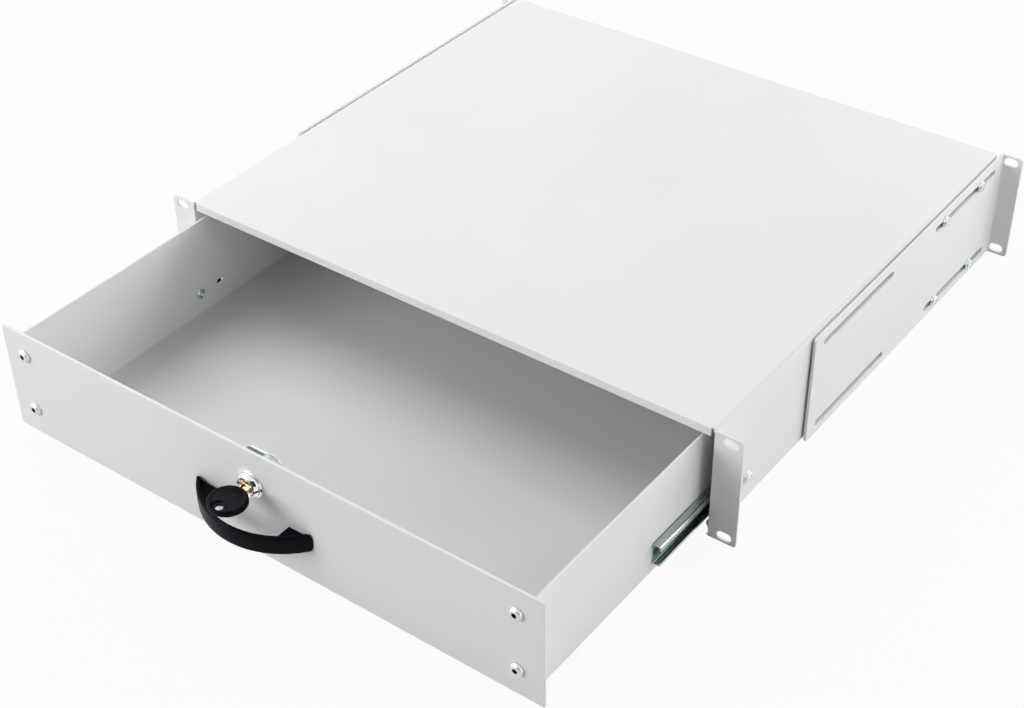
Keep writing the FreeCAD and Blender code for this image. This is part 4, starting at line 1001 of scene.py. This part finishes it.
FLOOR_REACH = 12.0
FLOOR_DROP = 0.0002
FLOOR_GREY = (0.6, 0.6, 0.6, 1)
FLOOR_WHITE_SHARE = 0.94
FADE_START, FADE_END = 1.2, 4.0
WORLD_LEVEL = 0.10
WHITE = (1, 1, 1, 1)
CARD_BLACK = (0.01, 0.01, 0.01, 1)

# Each lamp: its name, place, target, width and height in metres, and power in watts.
LAMPS = (
    ("top_left_light", (-1.4, 0.3, 1.7), (0.0, 0.1, 0.0), (1.8, 1.8), 34),
    ("front_left_light", (-1.3, -1.7, 0.8), (-0.1, -0.1, 0.0), (1.7, 1.4), 37),
    ("right_back_light", (0.9, 1.5, 0.85), (0.22, 0.25, 0.0), (1.8, 1.4), 22),
    ("right_high_light", (1.7, -0.3, 1.3), (0.2, 0.0, 0.0), (1.6, 1.6), 6.5),
    ("right_low_light", (2.2, 0.2, 0.3), (0.2, 0.1, 0.0), (1.6, 0.6), 15),
)
CARD_PLACE, CARD_TARGET, CARD_SIZE = (0.80, -1.5, 0.42), (0.0, -0.18, 0.0), (1.7, 1.3)


def sheet(name, half_x, half_y, level=0.0):
    """A flat four-cornered object."""
    mesh = bpy.data.meshes.new(name)
    mesh.from_pydata([(x, y, level) for x, y in rectangle(half_x, half_y)], [], [(0, 1, 2, 3)])
    return linked(name, mesh)


def seen_white(nodes, shade, kind, share=None):
    """Mix white over a shader for what the camera, gloss and glass see, or a share of white."""
    path = nodes.add("ShaderNodeLightPath").outputs
    seen = path["Is Camera Ray"]
    for other in ("Is Glossy Ray", "Is Transmission Ray"):
        seen = nodes.math("MAXIMUM", seen, path[other])
    if share is not None:
        seen = nodes.math("MULTIPLY", seen, share)
    white = nodes.add(kind)
    white.inputs["Strength"].default_value = 1
    white.inputs["Color"].default_value = WHITE
    mix = nodes.add("ShaderNodeMixShader")
    nodes.join(seen, mix.inputs[0])
    nodes.join(shade, mix.inputs[1])
    nodes.join(white.outputs[0], mix.inputs[2])
    return mix.outputs[0]


def pale_floor():
    """A matt floor that looks white, less so near the drawer, where it shows the shadow."""
    floor = sheet("floor", FLOOR_REACH, FLOOR_REACH, CAD_BOX[0].z - FLOOR_DROP)
    material = bpy.data.materials.new("floor")
    nodes = Nodes(material)
    nodes.tree.nodes.clear()
    matt = nodes.add("ShaderNodeBsdfDiffuse")
    matt.inputs["Color"].default_value = FLOOR_GREY
    fade = nodes.add("ShaderNodeMapRange")
    fade.inputs["From Min"].default_value = FADE_START
    fade.inputs["From Max"].default_value = FADE_END
    fade.inputs["To Min"].default_value = FLOOR_WHITE_SHARE
    fade.inputs["To Max"].default_value = 1.0
    nodes.join(nodes.length(nodes.add("ShaderNodeTexCoord").outputs["Object"]), fade.inputs["Value"])
    surface = seen_white(nodes, matt.outputs[0], "ShaderNodeEmission", fade.outputs["Result"])
    nodes.join(surface, nodes.add("ShaderNodeOutputMaterial").inputs["Surface"])
    floor.data.materials.append(material)


def white_world():
    """A dim even sky that looks white."""
    SCENE.world = bpy.data.worlds.new("studio")
    nodes = Nodes(SCENE.world)
    nodes.tree.nodes.clear()
    sky = nodes.add("ShaderNodeBackground")
    sky.inputs["Color"].default_value = WHITE
    sky.inputs["Strength"].default_value = WORLD_LEVEL
    surface = seen_white(nodes, sky.outputs[0], "ShaderNodeBackground")
    nodes.join(surface, nodes.add("ShaderNodeOutputWorld").inputs["Surface"])


def aimed(place, target):
    """The matrix of something at a place that looks at a target."""
    way = Vector(target) - Vector(place)
    return Matrix.Translation(place) @ way.to_track_quat("-Z", "Y").to_matrix().to_4x4()


def lamp(name, place, target, size, power):
    light = bpy.data.lights.new(name, "AREA")
    light.shape = "RECTANGLE"
    light.size, light.size_y = size
    light.energy = power
    linked(name, light).matrix_world = aimed(place, target)


def dark_card():
    """A black card at the front right, which only shiny surfaces see."""
    card = sheet("front_card", CARD_SIZE[0] / 2, CARD_SIZE[1] / 2)
    card.matrix_world = aimed(CARD_PLACE, CARD_TARGET)
    card.visible_camera = False
    card.visible_diffuse = False
    card.visible_shadow = False
    material = bpy.data.materials.new("front_card")
    material.use_nodes = True
    material.node_tree.nodes["Principled BSDF"].inputs["Base Color"].default_value = CARD_BLACK
    card.data.materials.append(material)


pale_floor()
white_world()
for settings in LAMPS:
    lamp(*settings)
dark_card()
